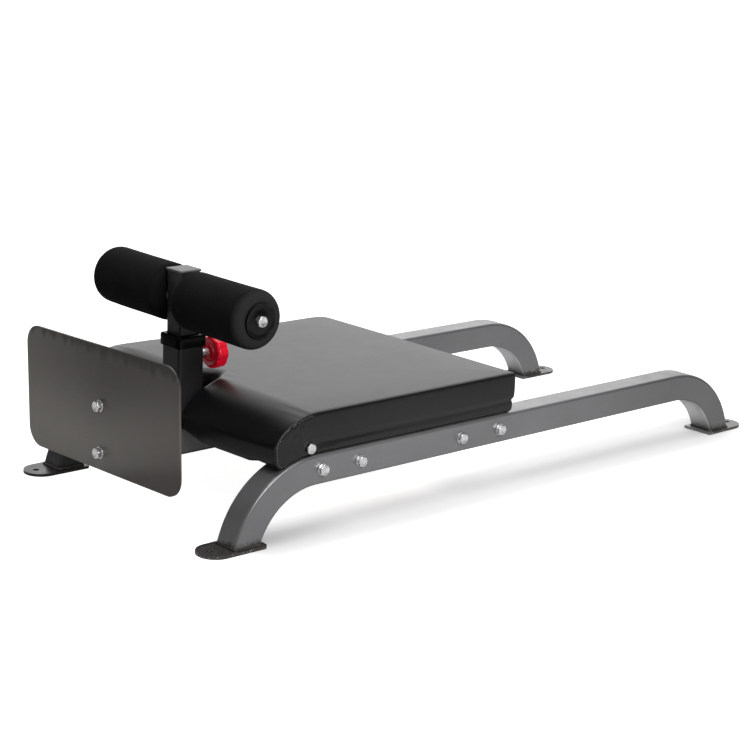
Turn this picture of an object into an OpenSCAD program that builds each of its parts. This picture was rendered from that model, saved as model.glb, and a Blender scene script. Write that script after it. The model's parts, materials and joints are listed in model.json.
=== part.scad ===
/* [Overall] */
// Length from the foot plate's bolt heads to the tips of the rear feet
overall_l = 1337; // [1280:1:1420]
// Width over the outer faces of the two rails
frame_w = 555; // [520:1:600]
// Height of the rails' top faces, where the pad lies
rail_top = 132.5; // [120:0.5:150]

/* [Frame tubes] */
// Outside width of the square frame tube
tube = 50; // [46:0.5:54]
// Wall of the square frame tube
tube_wall = 2; // [1.5:0.1:3]
// Outside corner radius of the square frame tube
tube_corner = 5; // [3.2:0.1:6]
// Centre line radius of the bends at both ends of a rail
bend_r = 142.5; // [130:0.5:155]
// From the foot plate's face back to the rails' front bends
front_bend_in = 226; // [215:0.5:240]

/* [Feet] */
// Thickness of the foot tabs that the rails stand on
foot_t = 5; // [4:0.5:8]
// Width of a foot tab
foot_w = 64; // [58:1:76]
// How far a foot tab's round tongue runs out past the tube
foot_reach = 50; // [42:1:60]
// How far a foot tab runs in past the tube
foot_inner = 10; // [6:1:16]
// Corner radius at the inner end of the front foot tabs
front_foot_corner = 9; // [3:0.5:12]
// Floor bolt hole in a foot tab
foot_hole_d = 11; // [8:0.5:13]
// From the tip of the tongue to the middle of its hole
foot_hole_in = 20; // [16:1:26]

/* [Cross members] */
// From the front bend to the middle of the front cross tube
front_cross_in = 50; // [40:1:60]
// Distance between the middles of the two cross tubes
cross_gap = 313; // [280:1:330]
// Thickness of the flanges on the cross tubes' ends
flange_t = 6; // [4:0.5:8]
// Length of a cross tube's flange along the rail
flange_l = 130; // [122:1:140]
// Spacing of the two rail bolts at the front cross tube
front_bolt_gap = 80; // [76:1:86]
// Spacing of the two rail bolts at the rear cross tube
rear_bolt_gap = 92; // [78:1:98]

/* [Foot plate] */
// Width of the foot plate
plate_w = 436; // [400:1:450]
// Height of the foot plate
plate_h = 208; // [190:1:230]
// Thickness of the foot plate
plate_t = 4; // [3:0.5:6]
// Corner radius of the foot plate
plate_corner = 34; // [20:1:50]
// Height of the foot plate's lower edge
plate_low = 76.8; // [70:0.1:80]
// Height of the lower foot plate bolt
plate_bolt_low = 106.6; // [104:0.1:109]
// Distance between the two foot plate bolts
plate_bolt_gap = 78.4; // [70:0.1:84]
// Turn of the foot plate within the slack of its bolt holes, in degrees
plate_turn = 1.8; // [0:0.1:2]
// Radial slack of the foot plate's bolt holes
plate_slack = 1.6; // [1.5:0.1:2]
// Width of the flange that the foot plate is bolted to
plate_flange_w = 80; // [66:1:100]
// Height of that flange
plate_flange_h = 127.5; // [122:0.5:140]

/* [Roller post] */
// From the foot plate's face to the middle of the post
post_in = 162; // [150:1:175]
// From the pad's crown up to the locking pin
pin_up = 38; // [34:0.5:46]
// From the locking pin up to the sleeve's top end
sleeve_over_pin = 37; // [34:0.5:42]
// Outside width of the telescoping post
post_w = 40; // [38:0.5:40.5]
// Wall of the telescoping post
post_wall = 2; // [1.5:0.1:3]
// Gap between the lowered post and the tube below it
post_base_gap = 4.5; // [2:0.5:8]
// From the roller axle up to the post's top end
post_over_axle = 45.5; // [42:0.5:54]
// Thickness of the post's end cap
cap_t = 4; // [3:0.5:6]
// How far the cap stands out past the post
cap_lip = 2; // [1:0.5:3]
// Length of the cap's plug inside the post
cap_plug = 18; // [10:1:24]
// Spacing of the post's locking holes
hole_step = 15; // [13:0.5:15]
// Number of locking holes
hole_count = 7; // [5:1:7]

/* [Sleeve collar] */
// Top of the plastic collar over the sleeve's end
collar_top = 3.5; // [2:0.5:5]
// How far the collar's skirt runs down outside the sleeve
collar_skirt = 16.5; // [10:0.5:18]
// Thickness of the skirt
collar_wall = 3.4; // [2:0.1:4.5]
// How far the collar's lining runs down inside the sleeve
collar_lining = 25; // [18:1:28]
// Play between the collar and the telescoping post
post_play = 0.3; // [0.2:0.05:0.5]

/* [Locking pin] */
// Diameter of the pin's tip
pin_d = 8; // [7:0.1:8.4]
// Radial clearance of the holes that the tip passes
pin_slack = 0.4; // [0.2:0.1:0.6]
// Diameter of the pin's rod
rod_d = 6; // [5:0.1:6.6]
// Diameter of the shoulder that the spring pushes on
shoulder_d = 10.6; // [9.8:0.1:10.8]
// Outside diameter of the pin's barrel
barrel_d = 15; // [14:0.5:18]
// Bore of the barrel
barrel_bore = 11; // [11:0.1:12]
// Length of the barrel
barrel_l = 25; // [24:0.5:30]
// Thickness of the barrel's end
barrel_end = 3; // [2:0.5:4]
// Wire of the pin's spring
wire_d = 1.1; // [0.8:0.1:1.2]
// Turns of the pin's spring
spring_turns = 6; // [5:1:6]
// Diameter of the knob over its lobes
knob_d = 57; // [46:1:60]
// Thickness of the knob
knob_t = 25; // [18:1:28]
// Number of lobes around the knob
knob_lobes = 8; // [6:1:9]

/* [Ankle rollers] */
// Gap between the collar and the rollers when the post is lowered
roller_gap = 11; // [6:0.5:20]
// Outside diameter of the axle tube
axle_d = 25; // [22:0.5:26]
// Wall of the axle tube
axle_wall = 2; // [1.5:0.1:3]
// Diameter of a foam roller
foam_d = 97; // [86:1:100]
// Length of a foam roller
foam_l = 177; // [150:1:190]
// Rounding of the foam's ends
foam_round = 13; // [6:0.5:20]
// Gap between the post and the foam
foam_in = 4; // [2:0.5:8]
// Wall of the plastic tube inside the foam
core_wall = 2.5; // [1.5:0.1:4]
// Radial running clearance of that tube on the axle
core_play = 0.08; // [0.02:0.01:0.1]
// Diameter of the end discs that keep the rollers on
disc_d = 57; // [44:1:70]
// Thickness of an end disc
disc_t = 3; // [2:0.5:5]

/* [Pad] */
// Length of the pad
pad_l = 530; // [490:1:560]
// Width of the pad
pad_w = 555; // [530:1:580]
// Height of the pad at the top of its crown
pad_h = 73.5; // [66:0.5:80]
// How much lower the pad's edges are than its crown
pad_crown = 2; // [0:0.5:6]
// From the middle of the post forward to the pad's front
pad_front_in = 23; // [20:1:28]
// Depth of the rolled front edge
pad_roll = 79; // [60:1:95]
// Height of the rolled edge's foremost line above the rails
pad_nose = 19.5; // [16:0.5:26]
// How much higher that line is at the pad's sides
pad_nose_side = 8; // [0:0.5:12]
// How far the rolled edge hangs below the rails' tops, over the rails
pad_lip = 11; // [6:0.5:11.5]
// How far it hangs between the rails
pad_lip_inner = 17.5; // [12:0.5:22]
// How far it hangs at the notch
pad_lip_notch = 8.5; // [4:0.5:12]
// Half width of the notch for the post
notch_half = 29; // [28.4:0.1:34]
// From the middle of the post back to the notch's round end
notch_in = 69; // [66:1:75]
// Thickness of the pad's cover
cover_t = 1.5; // [1:0.1:2.5]
// Thickness of the pad's board
board_t = 25; // [22:0.5:28]
// From the pad's edge to the board's edge
board_in = 7.5; // [5:0.5:10]
// From the pad's front to the side bolts
side_bolt_in = 72; // [60:1:90]
// Height of the side bolts above the board's underside
side_bolt_up = 13.5; // [11:0.5:14]
// Sideways place of the pad's bolts in the cross tubes
pad_bolt_y = 150; // [110:1:180]

/* [Fasteners] */
// Diameter of the frame bolts
bolt_d = 10; // [8:0.5:10]
// Width across the flats of the frame bolts' heads and nuts
bolt_af = 17; // [16:0.5:19]
// Height of the frame bolts' heads
head_h = 6.4; // [5:0.1:8]
// Height of the frame nuts
nut_h = 8; // [6:0.5:9]
// Diameter of the washers
washer_d = 20; // [19.8:0.1:22]
// Thickness of the washers
washer_t = 2; // [1.5:0.1:2.5]
// Radial clearance of the bolt holes
bolt_slack = 0.5; // [0.3:0.1:1]
// Diameter of the pad's bolts
pad_bolt_d = 8; // [6:0.5:8]

/* [Hidden] */
$fn = 64;

// Small running gap between a nut and its bolt, and the length of bolt past a nut
thread_gap = 0.05;
bolt_tail = 3;
flange_corner = 5;
spring_washer_t = 2;
spring_washer_d = 17;
rod_play = 0.1;
eps = 0.01;

half_l = overall_l / 2;
rail_y = (frame_w - tube) / 2;
tube_z = rail_top - tube / 2;
bend_z = tube_z - bend_r;
bend_out = sqrt(pow(bend_r + tube / 2, 2) - pow(foot_t - bend_z, 2));
bend_in = sqrt(pow(bend_r - tube / 2, 2) - pow(foot_t - bend_z, 2));
rear_bend_x = half_l - foot_reach - bend_out;
plate_face_x = -half_l + head_h + spring_washer_t + washer_t;
front_bend_x = plate_face_x + front_bend_in;
rail_straight = rear_bend_x - front_bend_x;
front_tip_x = front_bend_x - bend_out - foot_reach;
front_cross_x = front_bend_x + front_cross_in;
rear_cross_x = front_cross_x + cross_gap;
rail_inner_y = frame_w / 2 - tube;
cross_half = rail_inner_y - flange_t;
bolt_hole_d = bolt_d + 2 * bolt_slack;

// Each rail bolt: place along the rail and the turn of its hexagon
rail_bolt_marks = [
    [front_cross_x - front_bolt_gap / 2, 8],
    [front_cross_x + front_bolt_gap / 2, 21],
    [rear_cross_x - rear_bolt_gap / 2, 37],
    [rear_cross_x + rear_bolt_gap / 2, 14]
];

plate_flange_x = plate_face_x + plate_t;
spine_start_x = plate_flange_x + flange_t;
plate_bolt_mid = plate_bolt_low + plate_bolt_gap / 2;
plate_bolt_marks = [[plate_bolt_low, 12], [plate_bolt_low + plate_bolt_gap, 27]];

post_x = plate_face_x + post_in;
sleeve_rear_x = post_x + tube / 2;
post_rear_x = post_x + post_w / 2;
post_base = rail_top + post_base_gap;
pin_z = rail_top + pad_h + pin_up;
sleeve_top = pin_z + sleeve_over_pin;
axle_z = sleeve_top + collar_top + roller_gap + foam_d / 2;
post_top = axle_z + post_over_axle;
barrel_x = sleeve_rear_x + barrel_l;
shoulder_t = 3;
pin_tip_x = post_rear_x - post_wall - 2;
knob_gap = 0.3;
knob_x = barrel_x + knob_gap;
knob_socket = knob_t * 0.6;

foam_y = post_w / 2 + foam_in;
foam_end_y = foam_y + foam_l;
disc_y = foam_end_y + 2;
core_bore = axle_d + 2 * core_play;
core_d = core_bore + 2 * core_wall;

pad_x = post_x - pad_front_in;
pad_rear_x = pad_x + pad_l;
notch_x = post_x + notch_in - notch_half;
side_bolt_x = pad_x + side_bolt_in;
side_bolt_z = rail_top + side_bolt_up;
insert_d = 14;
insert_l = 25;
side_bolt_l = board_in + insert_l - 2;
tee_flange_d = 22;
tee_flange_t = 1.5;
tee_d = pad_bolt_d + 3;
pad_bolt_af = pad_bolt_d * 1.625;
pad_bolt_head = pad_bolt_d * 0.66;
pad_washer_t = 1.6;
pad_washer_d = pad_bolt_d * 2;

// General shapes

// A square with true round corners, about its middle
module round_square(size, r) {
    square([size, size - 2 * r], center = true);
    square([size - 2 * r, size], center = true);
    for (sx = [-1, 1], sy = [-1, 1])
        translate([sx * (size / 2 - r), sy * (size / 2 - r)]) circle(r = r);
}

// A rectangle with true round corners, about its middle
module round_rect(w, h, r) {
    square([w, h - 2 * r], center = true);
    square([w - 2 * r, h], center = true);
    for (sx = [-1, 1], sy = [-1, 1])
        translate([sx * (w / 2 - r), sy * (h / 2 - r)]) circle(r = r);
}

// A hollow square tube that stands on the floor plane
module upright_tube(size, wall, r, h) {
    linear_extrude(h) difference() {
        round_square(size, r);
        round_square(size - 2 * wall, max(r - wall, 0.6));
    }
}

// A cylinder from a point along +Y
module rod_y(x, y, z, d, l) {
    translate([x, y, z]) rotate([-90, 0, 0]) cylinder(h = l, d = d);
}

// A cylinder from a point along +X
module rod_x(x, y, z, d, l) {
    translate([x, y, z]) rotate([0, 90, 0]) cylinder(h = l, d = d);
}

// A hexagon head bolt: its head above the origin plane, its shank below
module bolt(d, l, af, h) {
    difference() {
        cylinder(h = h, d = af / cos(30), $fn = 6);
        translate([0, 0, h - 0.6]) difference() {
            cylinder(h = 1, d = af * 1.3);
            cylinder(h = 1, d1 = af * 0.97, d2 = af * 0.8);
        }
    }
    translate([0, 0, -l]) cylinder(h = l + eps, d = d);
}

// A ring, from the origin plane upwards
module ring(d, bore, h) {
    difference() {
        cylinder(h = h, d = d);
        translate([0, 0, -1]) cylinder(h = h + 2, d = bore);
    }
}

// A hexagon nut, from the origin plane upwards
module nut(d, af, h) {
    difference() {
        cylinder(h = h, d = af / cos(30), $fn = 6);
        translate([0, 0, -1]) cylinder(h = h + 2, d = d + 2 * thread_gap);
    }
}

// Turns a shape's +Z towards the outside of one rail: side is -1 right, 1 left
module outward(side) {
    rotate([side * -90, 0, 0]) children();
}

// Rails and feet

// The outside or the hollow of one rail, as a profile swept along its run
module rail_run(size, r) {
    translate([front_bend_x, 0, tube_z]) rotate([90, 0, 90])
        linear_extrude(rail_straight) round_square(size, r);
    for (m = [0, 1])
        translate([m == 0 ? rear_bend_x : front_bend_x, 0, bend_z])
            mirror([m, 0, 0]) rotate([90, 0, 0])
                rotate_extrude(angle = 90, $fn = 128)
                    translate([bend_r, 0]) round_square(size, r);
}

module rail(side) {
    color("#3d3d40") translate([0, side * rail_y, 0]) difference() {
        rail_run(tube, tube_corner);
        rail_run(tube - 2 * tube_wall, max(tube_corner - tube_wall, 0.6));
        translate([-overall_l, -tube, foot_t - overall_l])
            cube([2 * overall_l, 2 * tube, overall_l]);
        for (m = rail_bolt_marks)
            rod_y(m[0], -tube, tube_z, bolt_hole_d, 2 * tube);
    }
}

// One foot tab: its tip, its inner end, and the radius of its inner corners
module foot(side, tip_x, inner_x, corner) {
    dir = sign(tip_x - inner_x);
    round_x = tip_x - dir * foot_w / 2;
    color("#45454a") translate([0, side * rail_y, 0]) linear_extrude(foot_t) difference() {
        union() {
            translate([round_x, 0]) circle(d = foot_w);
            translate([min(round_x, inner_x + dir * corner), -foot_w / 2])
                square([abs(round_x - inner_x - dir * corner), foot_w]);
            if (corner > 0) {
                translate([min(inner_x, inner_x + dir * 2 * corner), corner - foot_w / 2])
                    square([2 * corner, foot_w - 2 * corner]);
                for (s = [-1, 1])
                    translate([inner_x + dir * corner, s * (foot_w / 2 - corner)])
                        circle(r = corner);
            }
        }
        translate([tip_x - dir * foot_hole_in, 0]) circle(d = foot_hole_d);
    }
}

module front_foot(side) {
    foot(side, front_tip_x, front_bend_x - bend_in + foot_inner, front_foot_corner);
}

module rear_foot(side) {
    foot(side, half_l, rear_bend_x + bend_in - foot_inner, 0);
}

// Cross members

module cross_tube(x) {
    color("#38383b") difference() {
        translate([x, -cross_half, tube_z]) rotate([-90, 0, 0])
            upright_tube(tube, tube_wall, tube_corner, 2 * cross_half);
        for (s = [-1, 1])
            translate([x, s * pad_bolt_y, tube_z - tube])
                cylinder(h = 2 * tube, d = pad_bolt_d + 2 * bolt_slack);
    }
}

module cross_flanges() {
    color("#38383b") for (x = [front_cross_x, rear_cross_x], s = [-1, 1]) {
        gap = x == front_cross_x ? front_bolt_gap : rear_bolt_gap;
        difference() {
            translate([x, s * rail_inner_y - (s > 0 ? flange_t : 0), tube_z])
                rotate([-90, 0, 0]) linear_extrude(flange_t) round_rect(flange_l, tube, flange_corner);
            for (e = [-1, 1])
                rod_y(x + e * gap / 2, s * rail_inner_y - tube / 2, tube_z, bolt_hole_d, tube);
        }
    }
}

module spine_tube() {
    spine_end_x = front_cross_x - tube / 2;
    color("#38383b") translate([spine_start_x, 0, tube_z]) rotate([0, 90, 0])
        upright_tube(tube, tube_wall, tube_corner, spine_end_x - spine_start_x);
}

// Rail bolts and what goes on them

module rail_bolts() {
    l = washer_t + tube + flange_t + washer_t + nut_h + bolt_tail;
    color("#c9c9cc") for (s = [-1, 1], m = rail_bolt_marks)
        translate([m[0], s * (frame_w / 2 + washer_t), tube_z]) outward(s)
            rotate(m[1] * s) bolt(bolt_d, l, bolt_af, head_h);
}

module rail_washers() {
    color("#b9b9bc") for (s = [-1, 1], m = rail_bolt_marks)
        translate([m[0], s * frame_w / 2, tube_z]) outward(s)
            ring(washer_d, bolt_hole_d, washer_t);
}

module rail_inner_washers() {
    color("#b9b9bc") for (s = [-1, 1], m = rail_bolt_marks)
        translate([m[0], s * cross_half, tube_z]) outward(-s)
            ring(washer_d, bolt_hole_d, washer_t);
}

module rail_nuts() {
    color("#b9b9bc") for (s = [-1, 1], m = rail_bolt_marks)
        translate([m[0], s * (cross_half - washer_t), tube_z]) outward(-s)
            rotate(m[1]) nut(bolt_d, bolt_af, nut_h);
}

// Foot plate and its flange

module foot_plate_flange() {
    low = rail_top - tube;
    color("#38383b") difference() {
        translate([plate_flange_x, 0, low + plate_flange_h / 2]) rotate([90, 0, 90])
            linear_extrude(flange_t) round_rect(plate_flange_w, plate_flange_h, flange_corner);
        for (m = plate_bolt_marks)
            rod_x(plate_flange_x - 1, 0, m[0], bolt_hole_d, flange_t + 2);
    }
}

module foot_plate() {
    color("#4a4541") translate([plate_face_x, 0, plate_bolt_mid])
        rotate([-plate_turn, 0, 0]) difference() {
            translate([0, 0, plate_low + plate_h / 2 - plate_bolt_mid]) rotate([90, 0, 90])
                linear_extrude(plate_t) round_rect(plate_w, plate_h, plate_corner);
            for (s = [-1, 1])
                rod_x(-1, 0, s * plate_bolt_gap / 2, bolt_d + 2 * plate_slack, plate_t + 2);
        }
}

// Turns a shape's +Z towards the front, on each foot plate bolt
module plate_bolt_places(x) {
    for (m = plate_bolt_marks)
        translate([x, 0, m[0]]) rotate([0, -90, 0]) rotate(m[1]) children();
}

module foot_plate_bolts() {
    l = spring_washer_t + washer_t + plate_t + flange_t + nut_h + bolt_tail;
    color("#c9c9cc") plate_bolt_places(-half_l + head_h)
        bolt(bolt_d, l, bolt_af, head_h);
}

module foot_plate_spring_washers() {
    split_w = 1.4;
    color("#a9a9ad") plate_bolt_places(plate_face_x - washer_t) difference() {
        ring(spring_washer_d, bolt_hole_d, spring_washer_t);
        translate([0, -split_w / 2, -1]) cube([spring_washer_d, split_w, spring_washer_t + 2]);
    }
}

module foot_plate_washers() {
    color("#b9b9bc") plate_bolt_places(plate_face_x)
        ring(washer_d, bolt_hole_d, washer_t);
}

module foot_plate_nuts() {
    color("#b9b9bc") plate_bolt_places(spine_start_x + nut_h)
        nut(bolt_d, bolt_af, nut_h);
}

// Post sleeve, collar and locking pin

module post_sleeve() {
    color("#2b2b2d") difference() {
        translate([post_x, 0, rail_top])
            upright_tube(tube, tube_wall, tube_corner, sleeve_top - rail_top);
        rod_x(post_x, 0, pin_z, pin_d + 2 * pin_slack, tube);
    }
}

module sleeve_collar() {
    outer = tube + 2 * (collar_wall + post_play);
    lining = tube - 2 * (tube_wall + post_play);
    opening = post_w + 2 * post_play;
    color("#161617") translate([post_x, 0, 0]) difference() {
        union() {
            translate([0, 0, sleeve_top - collar_skirt])
                linear_extrude(collar_skirt + collar_top) round_square(outer, tube_corner + 2);
        }
        translate([0, 0, sleeve_top - collar_lining - 1]) linear_extrude(collar_lining + 1)
            difference() {
                round_square(tube + 2 * post_play, tube_corner);
                round_square(lining, tube_corner - tube_wall);
            }
        translate([0, 0, sleeve_top - collar_lining - 1])
            linear_extrude(collar_lining + collar_top + 2) round_square(opening, 4);
    }
    color("#161617") translate([post_x, 0, sleeve_top - collar_lining])
        linear_extrude(collar_lining - collar_skirt + eps) difference() {
            round_square(lining, tube_corner - tube_wall);
            round_square(opening, 4);
        }
}

module lock_barrel() {
    color("#c4c4c8") translate([sleeve_rear_x, 0, pin_z]) rotate([0, 90, 0]) difference() {
        cylinder(h = barrel_l, d = barrel_d);
        translate([0, 0, -1]) cylinder(h = barrel_l - barrel_end + 1, d = barrel_bore);
        cylinder(h = barrel_l + 1, d = rod_d + 2 * rod_play);
    }
}

module lock_pin() {
    shoulder_x = sleeve_rear_x + 0.1;
    color("#d0d0d4") {
        rod_x(pin_tip_x + 1, 0, pin_z, pin_d, shoulder_x - pin_tip_x - 1 + eps);
        translate([pin_tip_x, 0, pin_z]) rotate([0, 90, 0])
            cylinder(h = 1 + eps, d1 = pin_d - 2, d2 = pin_d);
        rod_x(shoulder_x, 0, pin_z, shoulder_d, shoulder_t);
        rod_x(shoulder_x, 0, pin_z, rod_d, knob_x + knob_socket - shoulder_x);
    }
}

// The pin's spring: one tube of wire wound round the rod, along +X
spring_x = sleeve_rear_x + 0.1 + shoulder_t + 0.1;
spring_l = barrel_x - barrel_end - 0.1 - spring_x;
spring_r = (rod_d + barrel_bore) / 4;
spring_sides = 6;
spring_steps = 12;
spring_rings = spring_turns * spring_steps;
spring_pitch = (spring_l - wire_d) / spring_turns;
echo(spring_gap = spring_pitch - wire_d);

function spring_point(ring, side) =
    let (
        a = 360 * ring / spring_steps,
        b = 360 * side / spring_sides,
        r = spring_r + cos(b) * wire_d / 2,
        x = wire_d / 2 + spring_pitch * ring / spring_steps + sin(b) * wire_d / 2
    )
    [x, r * cos(a), r * sin(a)];

module pin_spring() {
    n = spring_sides;
    points = [for (i = [0:spring_rings], j = [0:n - 1]) spring_point(i, j)];
    walls = [
        for (i = [0:spring_rings - 1], j = [0:n - 1], h = [0, 1])
            let (a = i * n + j, b = i * n + (j + 1) % n)
            h == 0 ? [a, b, b + n] : [a, b + n, a + n]
    ];
    ends = [
        for (j = [1:n - 2], h = [0, 1])
            let (last = spring_rings * n)
            h == 0 ? [0, j + 1, j] : [last, last + j, last + j + 1]
    ];
    color("#8f8f94") translate([spring_x, 0, pin_z])
        polyhedron(points = points, faces = concat(walls, ends));
}

// The lobed knob: a fluted disc with rounded rims and a ring boss on its inner face
module pin_knob() {
    r = knob_d / 2;
    rim = 3.5;
    flute_r = r * 0.34;
    boss_d = knob_d * 0.52;
    color("#c0101c") translate([knob_x, 0, pin_z]) rotate([0, 90, 0]) difference() {
        intersection() {
            union() {
                translate([0, 0, 2]) linear_extrude(knob_t - 2) difference() {
                    circle(r = r);
                    for (i = [0:knob_lobes - 1])
                        rotate((i + 0.5) * 360 / knob_lobes)
                            translate([r + flute_r * 0.86, 0]) circle(r = flute_r);
                }
                cylinder(h = knob_t / 2, d = boss_d);
            }
            union() {
                translate([0, 0, 2 + rim]) cylinder(h = knob_t - 2 - 2 * rim, r = r + 1);
                translate([0, 0, 2]) cylinder(h = rim, r1 = r - rim, r2 = r + 0.2);
                translate([0, 0, knob_t - rim]) cylinder(h = rim, r1 = r + 0.2, r2 = r - rim);
                cylinder(h = 2 + eps, r = boss_d / 2 + 1);
            }
        }
        translate([0, 0, -1]) cylinder(h = knob_socket + 1, d = rod_d + rod_play / 2);
    }
}

// Telescoping post with the roller axle

module inner_post() {
    color("#2b2b2d") difference() {
        translate([post_x, 0, post_base])
            upright_tube(post_w, post_wall, 4, post_top - post_base);
        for (i = [0:hole_count - 1])
            rod_x(post_x, 0, pin_z - i * hole_step, pin_d + 2 * pin_slack, post_w);
        rod_y(post_x, -post_w, axle_z, axle_d, 2 * post_w);
    }
}

module post_cap() {
    color("#1d1d1f") translate([post_x, 0, post_top]) {
        linear_extrude(cap_t) round_square(post_w + 2 * cap_lip, 5);
        translate([0, 0, -cap_plug]) linear_extrude(cap_plug + eps)
            round_square(post_w - 2 * post_wall - 0.4, 2);
    }
}

module roller_axle() {
    color("#9a9a9e") difference() {
        rod_y(post_x, -disc_y, axle_z, axle_d, 2 * disc_y);
        rod_y(post_x, -disc_y - 1, axle_z, axle_d - 2 * axle_wall, 2 * disc_y + 2);
    }
}

// A threaded plug welded into each end of the axle
module axle_end_nuts() {
    color("#9a9a9e") for (s = [-1, 1])
        translate([post_x, s * disc_y, axle_z]) outward(-s)
            ring(axle_d - 2 * axle_wall, bolt_d + 2 * thread_gap, 20);
}

module roller_end_discs() {
    color("#1b1b1c") for (s = [-1, 1])
        translate([post_x, s * disc_y, axle_z]) outward(s)
            ring(disc_d, bolt_hole_d, disc_t);
}

module roller_end_bolts() {
    color("#c9c9cc") for (s = [-1, 1])
        translate([post_x, s * (disc_y + disc_t), axle_z]) outward(s)
            rotate(18) bolt(bolt_d, disc_t + 22, bolt_af, head_h);
}

module roller_core(side) {
    color("#d8d8d4") translate([post_x, side * (foam_y - 1), axle_z]) outward(side)
        ring(core_d, core_bore, foam_l + 2);
}

// The foam's section: a bored sleeve with rounded ends
module foam_section() {
    steps = 6;
    r = foam_d / 2;
    polygon(concat(
        [[core_d / 2, 0], [core_d / 2, foam_l]],
        [for (i = [0:steps]) let (a = 90 - 90 * i / steps)
            [r - foam_round + foam_round * cos(a), foam_l - foam_round + foam_round * sin(a)]],
        [for (i = [0:steps]) let (a = -90 * i / steps)
            [r - foam_round + foam_round * cos(a), foam_round + foam_round * sin(a)]]
    ));
}

module roller_foam(side) {
    color("#202021") translate([post_x, side * foam_y, axle_z]) outward(side)
        rotate_extrude() foam_section();
}

// Pad

// Outline rings of the pad's form step in from its edge by these amounts
pad_steps = [0, 1.5, 4, 9, 20, 38, 60];
// The pad's walls, from its underside to its top edge: share of the height, step in
pad_walls = [[0, 1.6], [0.5, 0.2]];
// Depth of the form below the rails' tops, before its underside is cut
pad_root = 2 * pad_lip_inner;
side_shares = [0.03, 0.06, 0.1, 0.15];
notch_shares = [0.8, 0.6, 0.4, 0.2];
edge_round = 6;
crown_run = 90;

function corner_arc(cx, cy, r, a0, a1, n) =
    [for (i = [0:n]) let (a = a0 + (a1 - a0) * i / n) [cx + r * cos(a), cy + r * sin(a)]];

// Left half of the pad's outline, stepped in by d: from the notch's end to the rear's middle
function half_outline(d) =
    let (
        xf = pad_x + d,
        xr = pad_rear_x - d,
        w = pad_w / 2 - d,
        hn = notch_half + d,
        mouth = max(6 - d, 0.5),
        corner = max(10 - d, 0.5),
        run = notch_x - xf - mouth
    )
    concat(
        corner_arc(notch_x, 0, hn, 0, 90, 5),
        [for (s = notch_shares) [xf + mouth + run * s, hn]],
        corner_arc(xf + mouth, hn + mouth, mouth, -90, -180, 2),
        corner_arc(xf + corner, w - corner, corner, 180, 90, 3),
        [for (s = side_shares) [xf + corner + s * (xr - xf - 2 * corner), w]],
        corner_arc(xr - corner, w - corner, corner, 90, 0, 3),
        [[xr, 0]]
    );

function outline(d) =
    let (h = half_outline(d), n = len(h))
    concat(h, [for (i = [n - 2:-1:1]) [h[i][0], -h[i][1]]]);

function edge_drop(d) = d >= edge_round ? 0 :
    edge_round - sqrt(max(0, pow(edge_round, 2) - pow(edge_round - d, 2)));

function notch_distance(p) =
    p[0] > notch_x ? norm([p[0] - notch_x, p[1]]) - notch_half : abs(p[1]) - notch_half;

// Height of the pad's top above its underside at a point of its plan
function pad_top(p) =
    let (
        front = max(0, p[0] - pad_x),
        side = max(0, pad_w / 2 - abs(p[1])),
        rear = max(0, pad_rear_x - p[0]),
        t = min(1, front / pad_roll),
        low = pad_nose + pad_nose_side * pow(2 * abs(p[1]) / pad_w, 4),
        nose = low + (pad_h - low) * pow(1 - pow(1 - t, 1.6), 0.72),
        near = min(side, rear),
        crown = pad_crown * pow(1 - min(1, near / crown_run), 2),
        rim = t < 1 ? t : 1
    )
    min(nose, pad_h) - rim * crown - rim * edge_drop(near)
        - rim * 0.4 * edge_drop(max(0, notch_distance(p)));

// Closes one ring with a fan around a point in each half of the pad
function cap_faces(start, half, count, left, right, up) =
    [
        for (i = [0:count - 1])
            let (a = start + i, b = start + (i + 1) % count, c = i < half - 1 ? left : right)
            up ? [c, a, b] : [c, b, a],
        for (c = [left, right])
            let (a = start + (c == left ? half - 1 : 0), b = start + (c == left ? 0 : half - 1))
            up ? [c, a, b] : [c, b, a]
    ];

// One closed skin of the pad, drawn in by a thickness on every side but its underside
module pad_skin(inset) {
    base = outline(0);
    count = len(base);
    half = len(half_outline(0));
    root = [for (p = outline(pad_walls[0][1] + inset)) [p[0], p[1], -pad_root]];
    walls = [
        for (w = pad_walls) let (o = outline(w[1] + inset))
            [for (i = [0:count - 1]) [o[i][0], o[i][1], w[0] * (pad_top(base[i]) - inset)]]
    ];
    tops = [
        for (d = pad_steps) let (o = outline(d + inset), b = outline(d))
            [for (i = [0:count - 1]) [o[i][0], o[i][1], pad_top(b[i]) - inset]]
    ];
    rings = concat([root], walls, tops);
    last = len(rings) - 1;
    hubs = [
        for (h = [0, 1], s = [1, -1])
            let (p = [pad_x + pad_l * 0.42, s * pad_w / 4])
            [p[0], p[1], h == 0 ? -pad_root : pad_top(p) - inset]
    ];
    points = concat([for (r = rings, p = r) p], hubs);
    hub = count * (last + 1);
    sides = [
        for (k = [0:last - 1], i = [0:count - 1], h = [0, 1])
            let (a = k * count + i, b = k * count + (i + 1) % count)
            h == 0 ? [a, b, b + count] : [a, b + count, a + count]
    ];
    caps = concat(
        cap_faces(0, half, count, hub, hub + 1, false),
        cap_faces(last * count, half, count, hub + 2, hub + 3, true)
    );
    translate([0, 0, rail_top]) polyhedron(points = points, faces = concat(sides, caps));
}

// How far the rolled edge hangs at places across the pad, counted from its middle
lip_turn = 45;
lip_settle = 110;
lip_marks = [
    [notch_half, pad_lip_notch], [notch_half + lip_turn, pad_lip_inner + 2],
    [notch_half + lip_settle, pad_lip_inner], [rail_inner_y - 30, pad_lip_inner],
    [rail_inner_y - 4, pad_lip], [pad_w, pad_lip]
];

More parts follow.
